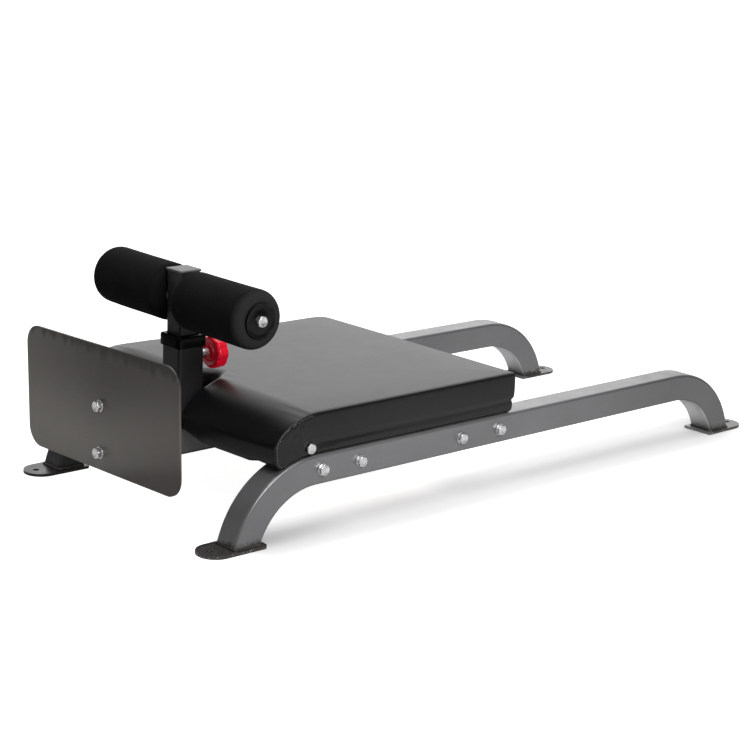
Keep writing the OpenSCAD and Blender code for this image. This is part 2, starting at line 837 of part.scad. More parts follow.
// Section of the space under the pad where its rolled edge hangs by lip
function under_section(lift, lip) = [
    [pad_x - 4, -2 * pad_root], [pad_x - 4, pad_nose + 6 + lift],
    [pad_x + 0.4 + lift, pad_nose * 0.5 + lift], [pad_x + 1.6 + lift, lift],
    [pad_x + 4.5 + lift, lift - lip * 0.55], [pad_x + 9.5, lift - lip * 0.9],
    [pad_x + 17, lift - lip], [pad_x + 59, lift],
    [pad_rear_x + 4, lift], [pad_rear_x + 4, -2 * pad_root]
];

// What lies under the pad: below the rolled edge's lip and the flat underside
module under_pad(lift) {
    marks = concat(
        [for (i = [len(lip_marks) - 1:-1:0]) [-lip_marks[i][0], lip_marks[i][1]]],
        lip_marks
    );
    n = len(under_section(lift, pad_lip));
    last = len(marks) - 1;
    points = [for (m = marks, p = under_section(lift, m[1])) [p[0], m[0], p[1]]];
    sides = [
        for (k = [0:last - 1], i = [0:n - 1], h = [0, 1])
            let (a = k * n + i, b = k * n + (i + 1) % n)
            h == 0 ? [a, b + n, b] : [a, a + n, b + n]
    ];
    ends = [[for (i = [0:n - 1]) i], [for (i = [n - 1:-1:0]) last * n + i]];
    translate([0, 0, rail_top]) polyhedron(points = points, faces = concat(sides, ends));
}

// The notch as a cut that stays clear of the post, stepped out by d
module notch_plan(d) {
    translate([notch_x, 0]) circle(r = notch_half + d);
    translate([pad_x - 1, -notch_half - d]) square([notch_x - pad_x + 1, 2 * (notch_half + d)]);
}

module board_blank() {
    front_x = pad_x + 14;
    l = pad_rear_x - board_in - front_x;
    translate([0, 0, rail_top]) linear_extrude(board_t) difference() {
        translate([front_x + l / 2, 0]) round_rect(l, pad_w - 2 * board_in, 6);
        notch_plan(board_in);
    }
}

module side_bolt_bore(d) {
    rod_y(side_bolt_x, -pad_w, side_bolt_z, d, 2 * pad_w);
}

module pad_board() {
    color("#b08a5a") difference() {
        board_blank();
        for (s = [-1, 1])
            translate([side_bolt_x, s * (pad_w / 2 - board_in - insert_l), side_bolt_z])
                outward(s) cylinder(h = insert_l + 1, d = insert_d + 2 * thread_gap);
        for (x = [front_cross_x, rear_cross_x], s = [-1, 1])
            translate([x, s * pad_bolt_y, rail_top - 1]) {
                cylinder(h = board_t + 2, d = tee_d + 2 * thread_gap);
                translate([0, 0, board_t + 1 - tee_flange_t - eps])
                    cylinder(h = board_t, d = tee_flange_d + 2 * thread_gap);
            }
    }
}

module pad_foam() {
    color("#d9c98a") difference() {
        pad_skin(cover_t);
        board_blank();
        under_pad(cover_t);
        side_bolt_bore(bolt_hole_d);
    }
}

module pad_cover() {
    color("#19191a") difference() {
        pad_skin(0);
        under_pad(0);
        difference() {
            pad_skin(cover_t);
            under_pad(cover_t);
        }
        board_blank();
        side_bolt_bore(bolt_hole_d);
    }
}

module pad_bolt_places(z) {
    for (x = [front_cross_x, rear_cross_x], s = [-1, 1])
        translate([x, s * pad_bolt_y, z]) children();
}

module pad_bolts() {
    l = pad_washer_t + tube + board_t - 2;
    color("#c9c9cc") pad_bolt_places(rail_top - tube - pad_washer_t)
        rotate([180, 0, 0]) bolt(pad_bolt_d, l, pad_bolt_af, pad_bolt_head);
}

module pad_bolt_washers() {
    color("#b9b9bc") pad_bolt_places(rail_top - tube - pad_washer_t)
        ring(pad_washer_d, pad_bolt_d + 2 * bolt_slack, pad_washer_t);
}

module pad_tee_nuts() {
    color("#b9b9bc") pad_bolt_places(rail_top) difference() {
        union() {
            translate([0, 0, 4]) cylinder(h = board_t - 4, d = tee_d);
            translate([0, 0, board_t - tee_flange_t]) cylinder(h = tee_flange_t, d = tee_flange_d);
        }
        cylinder(h = 3 * board_t, d = pad_bolt_d + 2 * thread_gap, center = true);
    }
}

module pad_side_bolts() {
    color("#c9c9cc") for (s = [-1, 1])
        translate([side_bolt_x, s * pad_w / 2, side_bolt_z]) outward(s)
            rotate(11) bolt(bolt_d, side_bolt_l, bolt_af, head_h * 0.8);
}

module pad_side_inserts() {
    color("#a9a9ad") for (s = [-1, 1])
        translate([side_bolt_x, s * (pad_w / 2 - board_in - insert_l), side_bolt_z])
            outward(s) ring(insert_d, bolt_d + 2 * thread_gap, insert_l);
}

rail(-1);  // right_rail
rail(1);  // left_rail
front_foot(-1);  // front_right_foot
front_foot(1);  // front_left_foot
rear_foot(-1);  // rear_right_foot
rear_foot(1);  // rear_left_foot
cross_tube(front_cross_x);  // front_cross_tube
cross_tube(rear_cross_x);  // rear_cross_tube
cross_flanges();
spine_tube();
foot_plate_flange();
foot_plate();
foot_plate_bolts();
foot_plate_spring_washers();
foot_plate_washers();
foot_plate_nuts();
rail_bolts();
rail_washers();
rail_inner_washers();
rail_nuts();
post_sleeve();
sleeve_collar();
lock_barrel();
lock_pin();
pin_spring();
pin_knob();
inner_post();
post_cap();
roller_axle();
axle_end_nuts();
roller_end_discs();
roller_end_bolts();
roller_core(-1);  // right_roller_core
roller_foam(-1);  // right_roller_foam
roller_core(1);  // left_roller_core
roller_foam(1);  // left_roller_foam
pad_board();
pad_foam();
pad_cover();
pad_bolts();
pad_bolt_washers();
pad_tee_nuts();
pad_side_bolts();
pad_side_inserts();
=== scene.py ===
import json
import math

import bmesh
import bpy
import numpy as np
from mathutils import Matrix, Vector


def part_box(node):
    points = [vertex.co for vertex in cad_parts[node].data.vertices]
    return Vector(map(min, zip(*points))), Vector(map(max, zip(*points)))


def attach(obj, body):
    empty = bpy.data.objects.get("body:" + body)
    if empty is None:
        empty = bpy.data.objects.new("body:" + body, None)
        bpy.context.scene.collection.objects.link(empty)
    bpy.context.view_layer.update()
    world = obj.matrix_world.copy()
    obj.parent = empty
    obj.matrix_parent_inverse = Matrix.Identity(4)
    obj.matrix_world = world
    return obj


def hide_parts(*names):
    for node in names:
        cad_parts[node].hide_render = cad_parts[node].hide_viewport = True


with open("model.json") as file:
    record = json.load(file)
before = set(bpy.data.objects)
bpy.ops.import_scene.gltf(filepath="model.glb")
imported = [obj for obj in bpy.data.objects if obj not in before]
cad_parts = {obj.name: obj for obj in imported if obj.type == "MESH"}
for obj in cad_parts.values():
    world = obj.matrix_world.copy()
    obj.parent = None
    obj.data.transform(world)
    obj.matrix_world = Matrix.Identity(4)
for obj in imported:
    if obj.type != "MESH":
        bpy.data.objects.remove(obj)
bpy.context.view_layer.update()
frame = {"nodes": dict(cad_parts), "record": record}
nodes = frame["nodes"]
MM = 0.001
scene = bpy.context.scene


# Camera

PHOTO_AZIMUTH = math.radians(-41.98)
PHOTO_ELEVATION = math.radians(14.71)
PHOTO_ROLL = math.radians(2.14)
CAMERA_PLACE = Vector((-2.25395, -2.4326, 1.0055))
CAMERA_LENS = 89.14
CAMERA_SHIFT = 0.00066


def make_camera():
    """The photo's camera, as it was calibrated."""
    a, e, r = PHOTO_AZIMUTH, PHOTO_ELEVATION, PHOTO_ROLL
    back = Vector((math.sin(a) * math.cos(e), -math.cos(a) * math.cos(e), math.sin(e)))
    level = Vector((math.cos(a), math.sin(a), 0))
    upright = back.cross(level)
    right = math.cos(r) * level + math.sin(r) * upright
    up = math.cos(r) * upright - math.sin(r) * level
    data = bpy.data.cameras.new("camera")
    data.sensor_width = 36
    data.lens = CAMERA_LENS
    data.shift_y = CAMERA_SHIFT
    camera = bpy.data.objects.new("camera", data)
    scene.collection.objects.link(camera)
    camera.matrix_world = Matrix.Translation(CAMERA_PLACE) @ Matrix(
        (right, up, back)
    ).transposed().to_4x4()
    scene.camera = camera


# Places, in millimetres


def span(node, axis):
    """Where a CAD node starts and ends along an axis, rounded past its mesh's own error."""
    index = "xyz".index(axis)
    return [round(corner[index] / MM, 2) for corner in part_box(node)]


def centre_of(node, axis):
    return sum(span(node, axis)) / 2


def half_of(node, axis):
    start, end = span(node, axis)
    return (end - start) / 2


RAIL_INNER, RAIL_OUTER = span("left_rail", "y")
RAIL_Y, TUBE = centre_of("left_rail", "y"), RAIL_OUTER - RAIL_INNER
RAIL_TOP = span("left_rail", "z")[1]
TUBE_Z, TUBE_CORNER = RAIL_TOP - TUBE / 2, 5
FOOT_T = span("rear_left_foot", "z")[1]
BEND_RADII = (167.5, 167.5 - TUBE)
BEND_Z = RAIL_TOP - BEND_RADII[0]
BEND_OUT, BEND_IN = [math.sqrt(radius**2 - (FOOT_T - BEND_Z) ** 2) for radius in BEND_RADII]
RAIL_START, RAIL_END = span("left_rail", "x")
FRONT_BEND_X, REAR_BEND_X = RAIL_START + BEND_OUT, RAIL_END - BEND_OUT
FRONT_CROSS_X, REAR_CROSS_X = centre_of("front_cross_tube", "x"), centre_of("rear_cross_tube", "x")
CROSS_END = span("front_cross_tube", "y")[1]
SPINE_START, SPINE_END = span("spine_tube", "x")
POST_X, SLEEVE_REAR = centre_of("post_sleeve", "x"), span("post_sleeve", "x")[1]
SLEEVE_TOP = span("post_sleeve", "z")[1]
PIN_Z, KNOB_X = centre_of("lock_pin", "z"), span("pin_knob", "x")[0]
AXLE_Z, AXLE_END = centre_of("roller_end_discs", "z"), span("roller_axle", "y")[1]
DISC_T, DISC_RADIUS = span("roller_end_discs", "y")[1] - AXLE_END, half_of("roller_end_discs", "x")
FOAM_IN, FOAM_OUT = span("left_roller_foam", "y")
FOAM_RADIUS, FOAM_BORE = half_of("left_roller_foam", "x"), half_of("left_roller_core", "x") + 0.02
PAD_X, PAD_REAR = span("pad_cover", "x")
PAD_HALF, PAD_HEIGHT = span("pad_cover", "y")[1], span("pad_cover", "z")[1] - RAIL_TOP
NOTCH_X, NOTCH_HALF = POST_X + 40.0, TUBE / 2 + 4.0
SIDE_BOLT_X, SIDE_BOLT_Z = centre_of("pad_side_bolts", "x"), centre_of("pad_side_bolts", "z")
PLATE_TOP = span("foot_plate", "z")[1] - 5.71
PLATE_WASHER_RADIUS = 10.0
PLATE_BOLT_ZS = np.array(span("foot_plate_washers", "z")) + (PLATE_WASHER_RADIUS, -PLATE_WASHER_RADIUS)


# Materials


class Tree:
    """A node tree, built with short calls."""

    def __init__(self, tree, place):
        self.tree = tree
        self.place = self.add("ShaderNodeTexCoord").outputs[place]

    def add(self, kind, **values):
        node = self.tree.nodes.new(kind)
        for key, value in values.items():
            if key in node.inputs:
                node.inputs[key].default_value = value
            else:
                setattr(node, key, value)
        return node

    def link(self, out, into):
        self.tree.links.new(out, into)

    def axes(self):
        """The place along x, y and z, in metres."""
        node = self.add("ShaderNodeSeparateXYZ")
        self.link(self.place, node.inputs[0])
        return tuple(node.outputs)

    def scaled(self, scale):
        node = self.add("ShaderNodeMapping")
        node.inputs["Scale"].default_value = scale
        self.link(self.place, node.inputs["Vector"])
        return node.outputs["Vector"]

    def noise(self, scale, detail=3.0, rough=0.5, at=None):
        node = self.add("ShaderNodeTexNoise", Scale=scale, Detail=detail, Roughness=rough)
        self.link(at or self.place, node.inputs["Vector"])
        return node.outputs["Fac"]

    def cells(self, scale, feature="F1"):
        node = self.add("ShaderNodeTexVoronoi", Scale=scale, feature=feature)
        self.link(self.place, node.inputs["Vector"])
        return node.outputs["Distance"]

    def remap(self, out, low, high, to_low=0.0, to_high=1.0):
        node = self.add("ShaderNodeMapRange")
        for key, value in zip(("From Min", "From Max", "To Min", "To Max"), (low, high, to_low, to_high)):
            node.inputs[key].default_value = value
        self.link(out, node.inputs["Value"])
        return node.outputs["Result"]

    def step(self, out, low, high):
        """0 at low, 1 at high, with soft ends."""
        node = self.add("ShaderNodeMapRange", interpolation_type="SMOOTHSTEP")
        node.inputs["From Min"].default_value, node.inputs["From Max"].default_value = low, high
        self.link(out, node.inputs["Value"])
        return node.outputs["Result"]

    def bell(self, out, middle, width):
        """1 at the middle, falling off on both sides."""
        off = self.maths("DIVIDE", self.maths("SUBTRACT", out, middle), width)
        return self.maths("EXPONENT", self.product(off, off, -1.0))

    def product(self, first, *others):
        for other in others:
            first = self.maths("MULTIPLY", first, other)
        return first

    def maths(self, kind, a, b=0.0):
        node = self.add("ShaderNodeMath", operation=kind)
        for socket, value in zip(node.inputs, (a, b)):
            if isinstance(value, (int, float)):
                socket.default_value = value
            else:
                self.link(value, socket)
        return node.outputs[0]

    def mix(self, factor, a, b):
        node = self.add("ShaderNodeMix", data_type="RGBA")
        for socket, value in ((node.inputs[0], factor), (node.inputs[6], a), (node.inputs[7], b)):
            if isinstance(value, (int, float)):
                socket.default_value = value
            elif isinstance(value, tuple):
                socket.default_value = (*value, 1.0)
            else:
                self.link(value, socket)
        return node.outputs[2]


class Nodes(Tree):
    """A material's node tree round its one shader."""

    def __init__(self, name):
        self.material = bpy.data.materials.new(name)
        self.material.use_nodes = True
        super().__init__(self.material.node_tree, "Object")
        self.shader = self.tree.nodes["Principled BSDF"]

    def set(self, **values):
        for key, value in values.items():
            self.shader.inputs[key.replace("_", " ")].default_value = value

    def colour(self, out):
        self.link(out, self.shader.inputs["Base Color"])

    def roughness(self, out):
        self.link(out, self.shader.inputs["Roughness"])

    def bump(self, heights):
        """Stacks bumps: each is (height, strength, depth in metres)."""
        last = None
        for height, strength, depth in heights:
            node = self.add("ShaderNodeBump", Strength=strength, Distance=depth)
            self.link(height, node.inputs["Height"])
            if last:
                self.link(last, node.inputs["Normal"])
            last = node.outputs["Normal"]
        self.link(last, self.shader.inputs["Normal"])


def paint(name, colour, metallic, rough, fleck=0.12, dust=0.03, burnt_below=0.0):
    """Satin powder coat with a fine orange peel and faint handling marks.

    burnt_below is the height in metres up to which welding browned it. Only the frame's
    coat has one, and that coat also has the frame's painted light and shade."""
    n = Nodes(name)
    broad = n.noise(5.0, 4.0)
    peel = n.noise(900.0, 2.0)
    grain = n.noise(2600.0, 1.0)
    smear = n.noise(24.0, 5.0, 0.6)
    dark = tuple(c * (1 - fleck) for c in colour)
    light = tuple(min(1.0, c * (1 + fleck) + dust) for c in colour)
    tint = n.mix(n.remap(broad, 0.3, 0.7), dark, colour)
    tint = n.mix(n.remap(grain, 0.55, 0.75, 0.0, 0.5), tint, light)
    if burnt_below:
        # The frame's coat gets its painted light and shade here.
        tint = frame_painted_light(n, burnt(n, tint, colour, burnt_below))
    n.colour(tint)
    n.roughness(n.remap(smear, 0.3, 0.7, rough - 0.05, rough + 0.07))
    n.set(Metallic=metallic)
    n.bump([(peel, 0.16, 0.0003), (grain, 0.1, 0.0001)])
    return n.material


def burnt(n, tint, colour, top):
    """A tint browned and spattered up to a ragged height, as beside a weld."""
    brown = tuple(c * share for c, share in zip(colour, (0.3, 0.27, 0.25)))
    drops = tuple(min(1.0, c * 2.2) for c in colour)
    brown = n.mix(n.remap(n.noise(420.0, 2.0), 0.62, 0.7), brown, drops)
    ragged = n.maths("ADD", n.axes()[2], n.remap(n.noise(70.0, 3.0), 0.3, 0.7, -0.004, 0.004))
    return n.mix(n.remap(ragged, top * 0.6, top, 1.0, 0.0), tint, brown)


def frame_painted_light(n, tint):
    """A tint with painted light and shade on the parts of the frame that are darker or lighter in the
    photo.
    """
    x, y, z = n.axes()
    # Painted shade: the right rail's rear half is a shade darker.
    painted_rear_shade = n.product(n.step(y, 0.0, -0.2), n.step(x, 0.0, 0.5), 0.42)
    tint = n.mix(painted_rear_shade, tint, (0.1, 0.1, 0.1))
    # Painted reflection of the floor: the rear legs' inner faces, which look down at the floor, are
    # lighter.
    aside, above = n.maths("SUBTRACT", x, REAR_BEND_X * MM), n.maths("SUBTRACT", z, BEND_Z * MM)
    reach = n.maths("ADD", n.product(aside, aside), n.product(above, above))
    start, full = [((BEND_RADII[1] + depth) * MM) ** 2 for depth in (2.2, 0.8)]
    inner = n.product(n.step(reach, start, full), n.step(aside, 0.03, 0.06), n.bell(z, 0.045, 0.036), 0.8)
    tint = n.mix(inner, tint, (0.72, 0.72, 0.73))
    # Painted shade: little light comes between the rails behind the foot plate, or to the left front leg.
    across = n.maths("ABSOLUTE", y)
    between = n.step(across, (RAIL_INNER + 2) * MM, (RAIL_INNER + 1) * MM)
    behind = n.product(between, n.step(x, -0.4, -0.47), n.remap(across, 0.05, 0.2, 0.5, 0.9))
    left_leg = n.product(n.step(y, 0.2, 0.22), n.step(x, -0.5, -0.55), n.step(z, 0.1, 0.05), 0.75)
    return n.mix(n.maths("MAXIMUM", behind, left_leg), tint, (0.02, 0.02, 0.021))


def plate_paint():
    """The foot plate's warm dark coat, with faint long waves as rolled sheet has, and painted reflections
    and sheen on it.
    """
    n = Nodes("plate_paint")
    broad = n.noise(3.2, 3.0)
    peel = n.noise(820.0, 2.0)
    waves = n.noise(9.0, 2.0, at=n.scaled((1.0, 1.0, 0.45)))
    scuff = n.noise(60.0, 6.0, 0.7, at=n.scaled((1.0, 1.0, 0.25)))
    tint = n.mix(n.remap(broad, 0.3, 0.7), (0.048, 0.041, 0.035), (0.064, 0.055, 0.047))
    tint = n.mix(n.remap(scuff, 0.58, 0.8, 0.0, 0.35), tint, (0.11, 0.1, 0.09))
    _, y, z = n.axes()
    # Painted reflection: the coat grows lighter towards the left.
    tint = n.mix(n.remap(y, -0.02, 0.27, 0.0, 0.9), tint, (0.17, 0.157, 0.142))
    # Painted sheen: a lighter band lies across the middle and climbs to the right.
    level = n.maths("ADD", z, n.maths("MULTIPLY", n.maths("MINIMUM", y, 0.0), 0.3))
    band = n.product(n.bell(level, 0.118, 0.075), n.step(level, 0.05, 0.085))
    band = n.product(band, n.remap(y, -0.27, 0.05, 0.35, 0.8))
    tint = n.mix(band, tint, (0.21, 0.197, 0.18))
    # Painted reflection: dark ripples hang from the top edge.
    reflected_ripples = n.noise(46.0, 1.0, at=n.scaled((0.0, 1.0, 0.0)))
    height = n.maths("ADD", z, n.remap(reflected_ripples, 0.4, 0.62, 0.0, 0.011))
    painted_dark_reflection = n.remap(height, (PLATE_TOP - 13) * MM, (PLATE_TOP + 1) * MM, 0.0, 0.75)
    tint = n.mix(painted_dark_reflection, tint, (0.012, 0.01, 0.008))
    n.colour(tint)
    n.roughness(n.remap(scuff, 0.3, 0.75, 0.34, 0.44))
    n.set(Metallic=0.35)
    n.bump([(waves, 0.25, 0.002), (peel, 0.12, 0.0003)])
    return n.material


def steel(name, colour, rough):
    """Bright plated steel with fine machining marks and slightly dull patches."""
    n = Nodes(name)
    marks = n.noise(1500.0, 3.0, at=n.scaled((1.0, 1.0, 6.0)))
    patch = n.noise(160.0, 4.0)
    dark = tuple(c * 0.72 for c in colour)
    n.colour(n.mix(n.remap(patch, 0.35, 0.7), dark, colour))
    n.roughness(n.remap(patch, 0.3, 0.7, rough, rough + 0.12))
    n.set(Metallic=0.9)
    n.bump([(marks, 0.2, 0.00008)])
    return n.material


def plastic(name, colour, rough, grain=0.0, spec=0.5):
    n = Nodes(name)
    fine = n.noise(1400.0, 3.0)
    soft = n.noise(18.0, 4.0, 0.6)
    light = tuple(min(1.0, c * 1.25 + 0.004) for c in colour)
    tint = n.mix(n.remap(soft, 0.35, 0.7), colour, light)
    n.colour(tint)
    n.roughness(n.remap(soft, 0.3, 0.7, rough, rough + 0.08))
    n.set(Specular_IOR_Level=spec)
    n.bump([(fine, 0.1 + grain, 0.0001 + 0.0004 * grain), (soft, 0.08, 0.0008)])
    return n.material


def foam(name, colour):
    """Closed cell foam: a matte skin of fine pits with a few larger ones."""
    n = Nodes(name)
    pits = n.cells(1100.0)
    pores = n.cells(380.0, "SMOOTH_F1")
    wear = n.noise(30.0, 5.0, 0.6)
    light = tuple(c * 1.4 + 0.001 for c in colour)
    tint = n.mix(n.remap(wear, 0.42, 0.72), colour, light)
    # Painted shade: the pits are darker.
    tint = n.mix(n.remap(pits, 0.12, 0.5), tuple(c * 0.45 for c in colour), tint)
    # Painted highlight: the foam is lighter towards its outer ends.
    painted_lit_end = n.remap(n.maths("ABSOLUTE", n.axes()[1]), (FOAM_OUT - 13) * MM, (FOAM_OUT - 1) * MM)
    n.colour(n.mix(painted_lit_end, tint, tuple(c * 4 for c in colour)))
    n.set(Roughness=0.95, Sheen_Weight=0.02, Sheen_Roughness=0.4, Specular_IOR_Level=0.08)
    n.bump([(wear, 0.15, 0.0012), (pores, 0.25, 0.0006), (pits, 0.5, 0.0005)])
    return n.material


VINYL_SHINE, KNOB_SHINE = 0.39, 0.55
# The knob's painted glow, on its face and on its rim
KNOB_FACE_GLOW, KNOB_GLOW = 0.05, 0.18
# Where the painted shade on the cover's nose starts and is full, in metres
NOSE_X, NOSE_Z = (-0.44, -0.465), (0.198, 0.178)


def vinyl(name, colour):
    """Upholstery vinyl: an embossed pebble grain with painted shade in its dimples, faint creases, and
    painted shade that dulls its shine towards the front.
    """
    n = Nodes(name)
    pebble = n.cells(620.0, "SMOOTH_F1")
    fine = n.noise(1800.0, 2.0)
    crease = n.noise(26.0, 6.0, 0.62)
    broad = n.noise(6.0, 4.0)
    light = tuple(c * 1.5 + 0.002 for c in colour)
    tint = n.mix(n.remap(broad, 0.3, 0.7), colour, light)
    # Painted shade: the grain's dimples are darker.
    n.colour(n.mix(n.remap(pebble, 0.0, 0.25), tuple(c * 0.5 for c in colour), tint))
    n.roughness(n.remap(crease, 0.3, 0.7, 0.33, 0.355))
    # Painted shade: between the sides the cover is duller towards the front, and most of all on the nose.
    x, y, z = n.axes()
    nose = n.product(n.step(x, *NOSE_X), n.step(z, *NOSE_Z), -0.09)
    change = n.maths("ADD", n.remap(x, -0.43, 0.0, -0.09, 0.04), nose)
    between = n.step(n.maths("ABSOLUTE", y), (PAD_HALF - 1) * MM, (PAD_HALF - 6.5) * MM)
    shine = n.maths("ADD", n.product(change, between), VINYL_SHINE)
    n.link(shine, n.shader.inputs["Specular IOR Level"])
    n.bump([(crease, 0.01, 0.0012), (pebble, 0.16, 0.0004), (fine, 0.08, 0.0001)])
    return n.material


def open_foam():
    n = Nodes("pad_filling")
    pits = n.cells(900.0)
    # Painted shade: the pits are darker.
    n.colour(n.mix(n.remap(pits, 0.1, 0.6), (0.5, 0.4, 0.2), (0.75, 0.66, 0.42)))
    n.set(Roughness=0.95)
    n.bump([(pits, 0.7, 0.0008)])
    return n.material


def plywood():
    n = Nodes("board_wood")
    grain = n.noise(60.0, 6.0, 0.6, at=n.scaled((0.12, 1.4, 1.4)))
    pores = n.noise(700.0, 3.0, at=n.scaled((0.06, 1.0, 1.0)))
    tint = n.mix(n.remap(grain, 0.3, 0.7), (0.42, 0.28, 0.15), (0.62, 0.47, 0.3))
    n.colour(n.mix(n.remap(pores, 0.58, 0.72, 0.0, 0.5), tint, (0.2, 0.12, 0.06)))
    n.set(Roughness=0.72)
    n.bump([(grain, 0.2, 0.0006), (pores, 0.3, 0.0002)])
    return n.material


def weld_metal(name, colour, burnt):
    """A painted weld bead: the tube's coat over ripples, a little glossier."""
    n = Nodes(name)
    heat = n.noise(14.0, 3.0)
    n.colour(n.mix(n.remap(heat, 0.4, 0.7), colour, burnt))
    n.roughness(n.remap(heat, 0.3, 0.7, 0.34, 0.46))
    n.set(Metallic=0.5)
    n.bump([(n.noise(700.0, 3.0), 0.2, 0.0003)])
    return n.material


def knob_red():
    """Red plastic with a painted glow, so it looks brighter than its light alone would make it; its face
    towards the barrel has painted shade.
    """
    n = Nodes("knob_red")
    soft = n.noise(40.0, 3.0)
    red = n.mix(n.remap(soft, 0.35, 0.7), (0.88, 0.0, 0.018), (0.95, 0.002, 0.028))
    # Painted shade: the face towards the barrel is a darker red than the rim.
    rim = n.step(n.axes()[0], (KNOB_X + 2.4) * MM, (KNOB_X + 5.3) * MM)
    n.colour(n.mix(rim, (0.6, 0.0, 0.012), red))
    n.roughness(n.remap(soft, 0.3, 0.7, 0.22, 0.28))
    # Painted glow: the knob glows a little on its face and more on its rim.
    n.set(Specular_IOR_Level=KNOB_SHINE, Emission_Color=(1.0, 0.01, 0.045, 1.0))
    n.link(n.remap(rim, 0.0, 1.0, KNOB_FACE_GLOW, KNOB_GLOW), n.shader.inputs["Emission Strength"])
    n.bump([(n.noise(900.0, 2.0), 0.06, 0.0002), (soft, 0.1, 0.0006)])
    return n.material


GREY = (0.242, 0.242, 0.248)
MATERIALS = {
    "frame_paint": paint("frame_paint", GREY, 0.55, 0.32, fleck=0.18, burnt_below=0.016),
    "dark_paint": paint("dark_paint", (0.03, 0.03, 0.033), 0.35, 0.42, dust=0.01),
    "plate_paint": plate_paint(),
    "zinc": steel("zinc", (0.9, 0.9, 0.91), 0.24),
    "spring_steel": steel("spring_steel", (0.42, 0.42, 0.43), 0.3),
    "pin_steel": steel("pin_steel", (0.8, 0.8, 0.82), 0.14),
    "collar_plastic": plastic("collar_plastic", (0.001, 0.001, 0.001), 0.14, spec=0.1),
    "cap_plastic": plastic("cap_plastic", (0.06, 0.06, 0.062), 0.36, grain=0.3),
    "disc_plastic": plastic("disc_plastic", (0.002, 0.002, 0.002), 0.2, spec=0.18),
    "core_plastic": plastic("core_plastic", (0.6, 0.6, 0.57), 0.5),
    "knob_red": knob_red(),
    "roller_foam": foam("roller_foam", (0.0062, 0.0062, 0.0064)),
    "pad_vinyl": vinyl("pad_vinyl", (0.0034, 0.0034, 0.0035)),
    "pad_filling": open_foam(),
    "board_wood": plywood(),
    "weld_coat": weld_metal("weld_coat", (0.03, 0.027, 0.026), (0.1, 0.088, 0.08)),
    "weld_dark": weld_metal("weld_dark", (0.028, 0.028, 0.03), (0.05, 0.046, 0.044)),
    # The stitches' thread: their own thread, and partly a painted highlight along the seam.
    "thread": plastic("thread", (0.16, 0.16, 0.165), 0.45, grain=0.5),
}


# Bevels' widths in millimetres
BEVELS = {
    "foot_plate": 0.9, "front_right_foot": 0.8, "front_left_foot": 0.8, "rear_right_foot": 0.8,
    "rear_left_foot": 0.8, "cross_flanges": 0.6, "foot_plate_flange": 0.6, "lock_barrel": 0.8,
    "rail_washers": 0.3, "foot_plate_washers": 0.3, "rail_nuts": 0.4, "foot_plate_nuts": 0.4,
}


# Shapes: each is (points in millimetres, faces)

LOOP_STEPS = 6
# Points closer than this are one, and edges that turn more than this many degrees are hard
MERGE = 0.02
CRISP, CRISP_CAD = 40, 30


def sheet_faces(rows, columns, around_rows=False, around_columns=False):
    """Quads over a grid of points kept row by row."""
    faces = []
    for i in range(rows if around_rows else rows - 1):
        for j in range(columns if around_columns else columns - 1):
            k, m = (i + 1) % rows, (j + 1) % columns
            faces.append((i * columns + j, i * columns + m, k * columns + m, k * columns + j))
    return faces


def turned(profile, sides, axis, centre, radius_at=None, flip=1, spin=0.0):
    """A profile of (along, radius) turned round an axis; flip -1 runs it backwards."""
    angles = np.linspace(0, 2 * math.pi, sides, endpoint=False)
    rows = []
    for along, radius in profile:
        r = radius_at(along, radius, angles) if radius_at else np.full(sides, float(radius))
        u, v, w = r * np.cos(angles + spin), r * np.sin(angles + spin), np.full(sides, flip * along)
        rows.append(np.stack({"x": (w, u, v), "y": (u, w, v), "z": (u, v, w)}[axis], axis=1))
    points = np.concatenate(rows) + np.asarray(centre, float)
    return points, sheet_faces(len(profile), sides, around_columns=True)


def swept(path, radius, sides=8, closed=True):
    """A tube along a path of points, with one radius or one for each."""
    path = np.asarray(path, float)
    if closed:
        ahead = np.roll(path, -1, 0) - np.roll(path, 1, 0)
    else:
        ahead = np.gradient(path, axis=0)
    ahead /= np.linalg.norm(ahead, axis=1)[:, None]
    spread = path.max(0) - path.min(0)
    lean = np.eye(3)[int(np.argmin(spread))] + 0.01
    side = np.cross(ahead, lean)
    side /= np.linalg.norm(side, axis=1)[:, None]
    over = np.cross(side, ahead)
    angles = np.linspace(0, 2 * math.pi, sides, endpoint=False)
    radius = np.broadcast_to(radius, len(path))[:, None, None]
    ring = np.cos(angles)[:, None] * side[:, None] + np.sin(angles)[:, None] * over[:, None]
    points = (path[:, None] + radius * ring).reshape(-1, 3)
    faces = sheet_faces(len(path), sides, around_rows=closed, around_columns=True)
    if not closed:
        last = (len(path) - 1) * sides
        faces += [tuple(range(sides)), tuple(last + k for k in range(sides))]
    return points, faces


def arc(cx, cy, radius, start, end, steps):
    """Points of an arc, angles in degrees."""
    return [
        (cx + radius * math.cos(a), cy + radius * math.sin(a))
        for a in np.radians(np.linspace(start, end, steps + 1))
    ]


def round_loop(half_u, half_v, corner):
    """A rectangle with round corners, as (u, v) points about its middle."""
    u, v = half_u - corner, half_v - corner
    middles = ((u, v), (-u, v), (-u, -v), (u, -v))
    corners = [
        np.array(arc(*middle, corner, 90 * k, 90 * (k + 1), LOOP_STEPS))
        for k, middle in enumerate(middles)
    ]
    out = []
    for here, ahead in zip(corners, corners[1:] + corners[:1]):
        shares = np.linspace(0, 1, LOOP_STEPS + 1)[1:-1, None]
        out += [here, here[-1] + (ahead[0] - here[-1]) * shares]
    return np.concatenate(out)


def stacked(levels, centre):
    """Square loops with round corners, one above another: (half width, corner, height)."""
    loops = []
    for half, corner, height in levels:
        loop = round_loop(half, half, min(corner, half * 0.99))
        loops.append(np.column_stack([loop, np.full(len(loop), height)]) + np.asarray(centre, float))
    return np.concatenate(loops), sheet_faces(len(levels), len(loops[0]), around_columns=True)


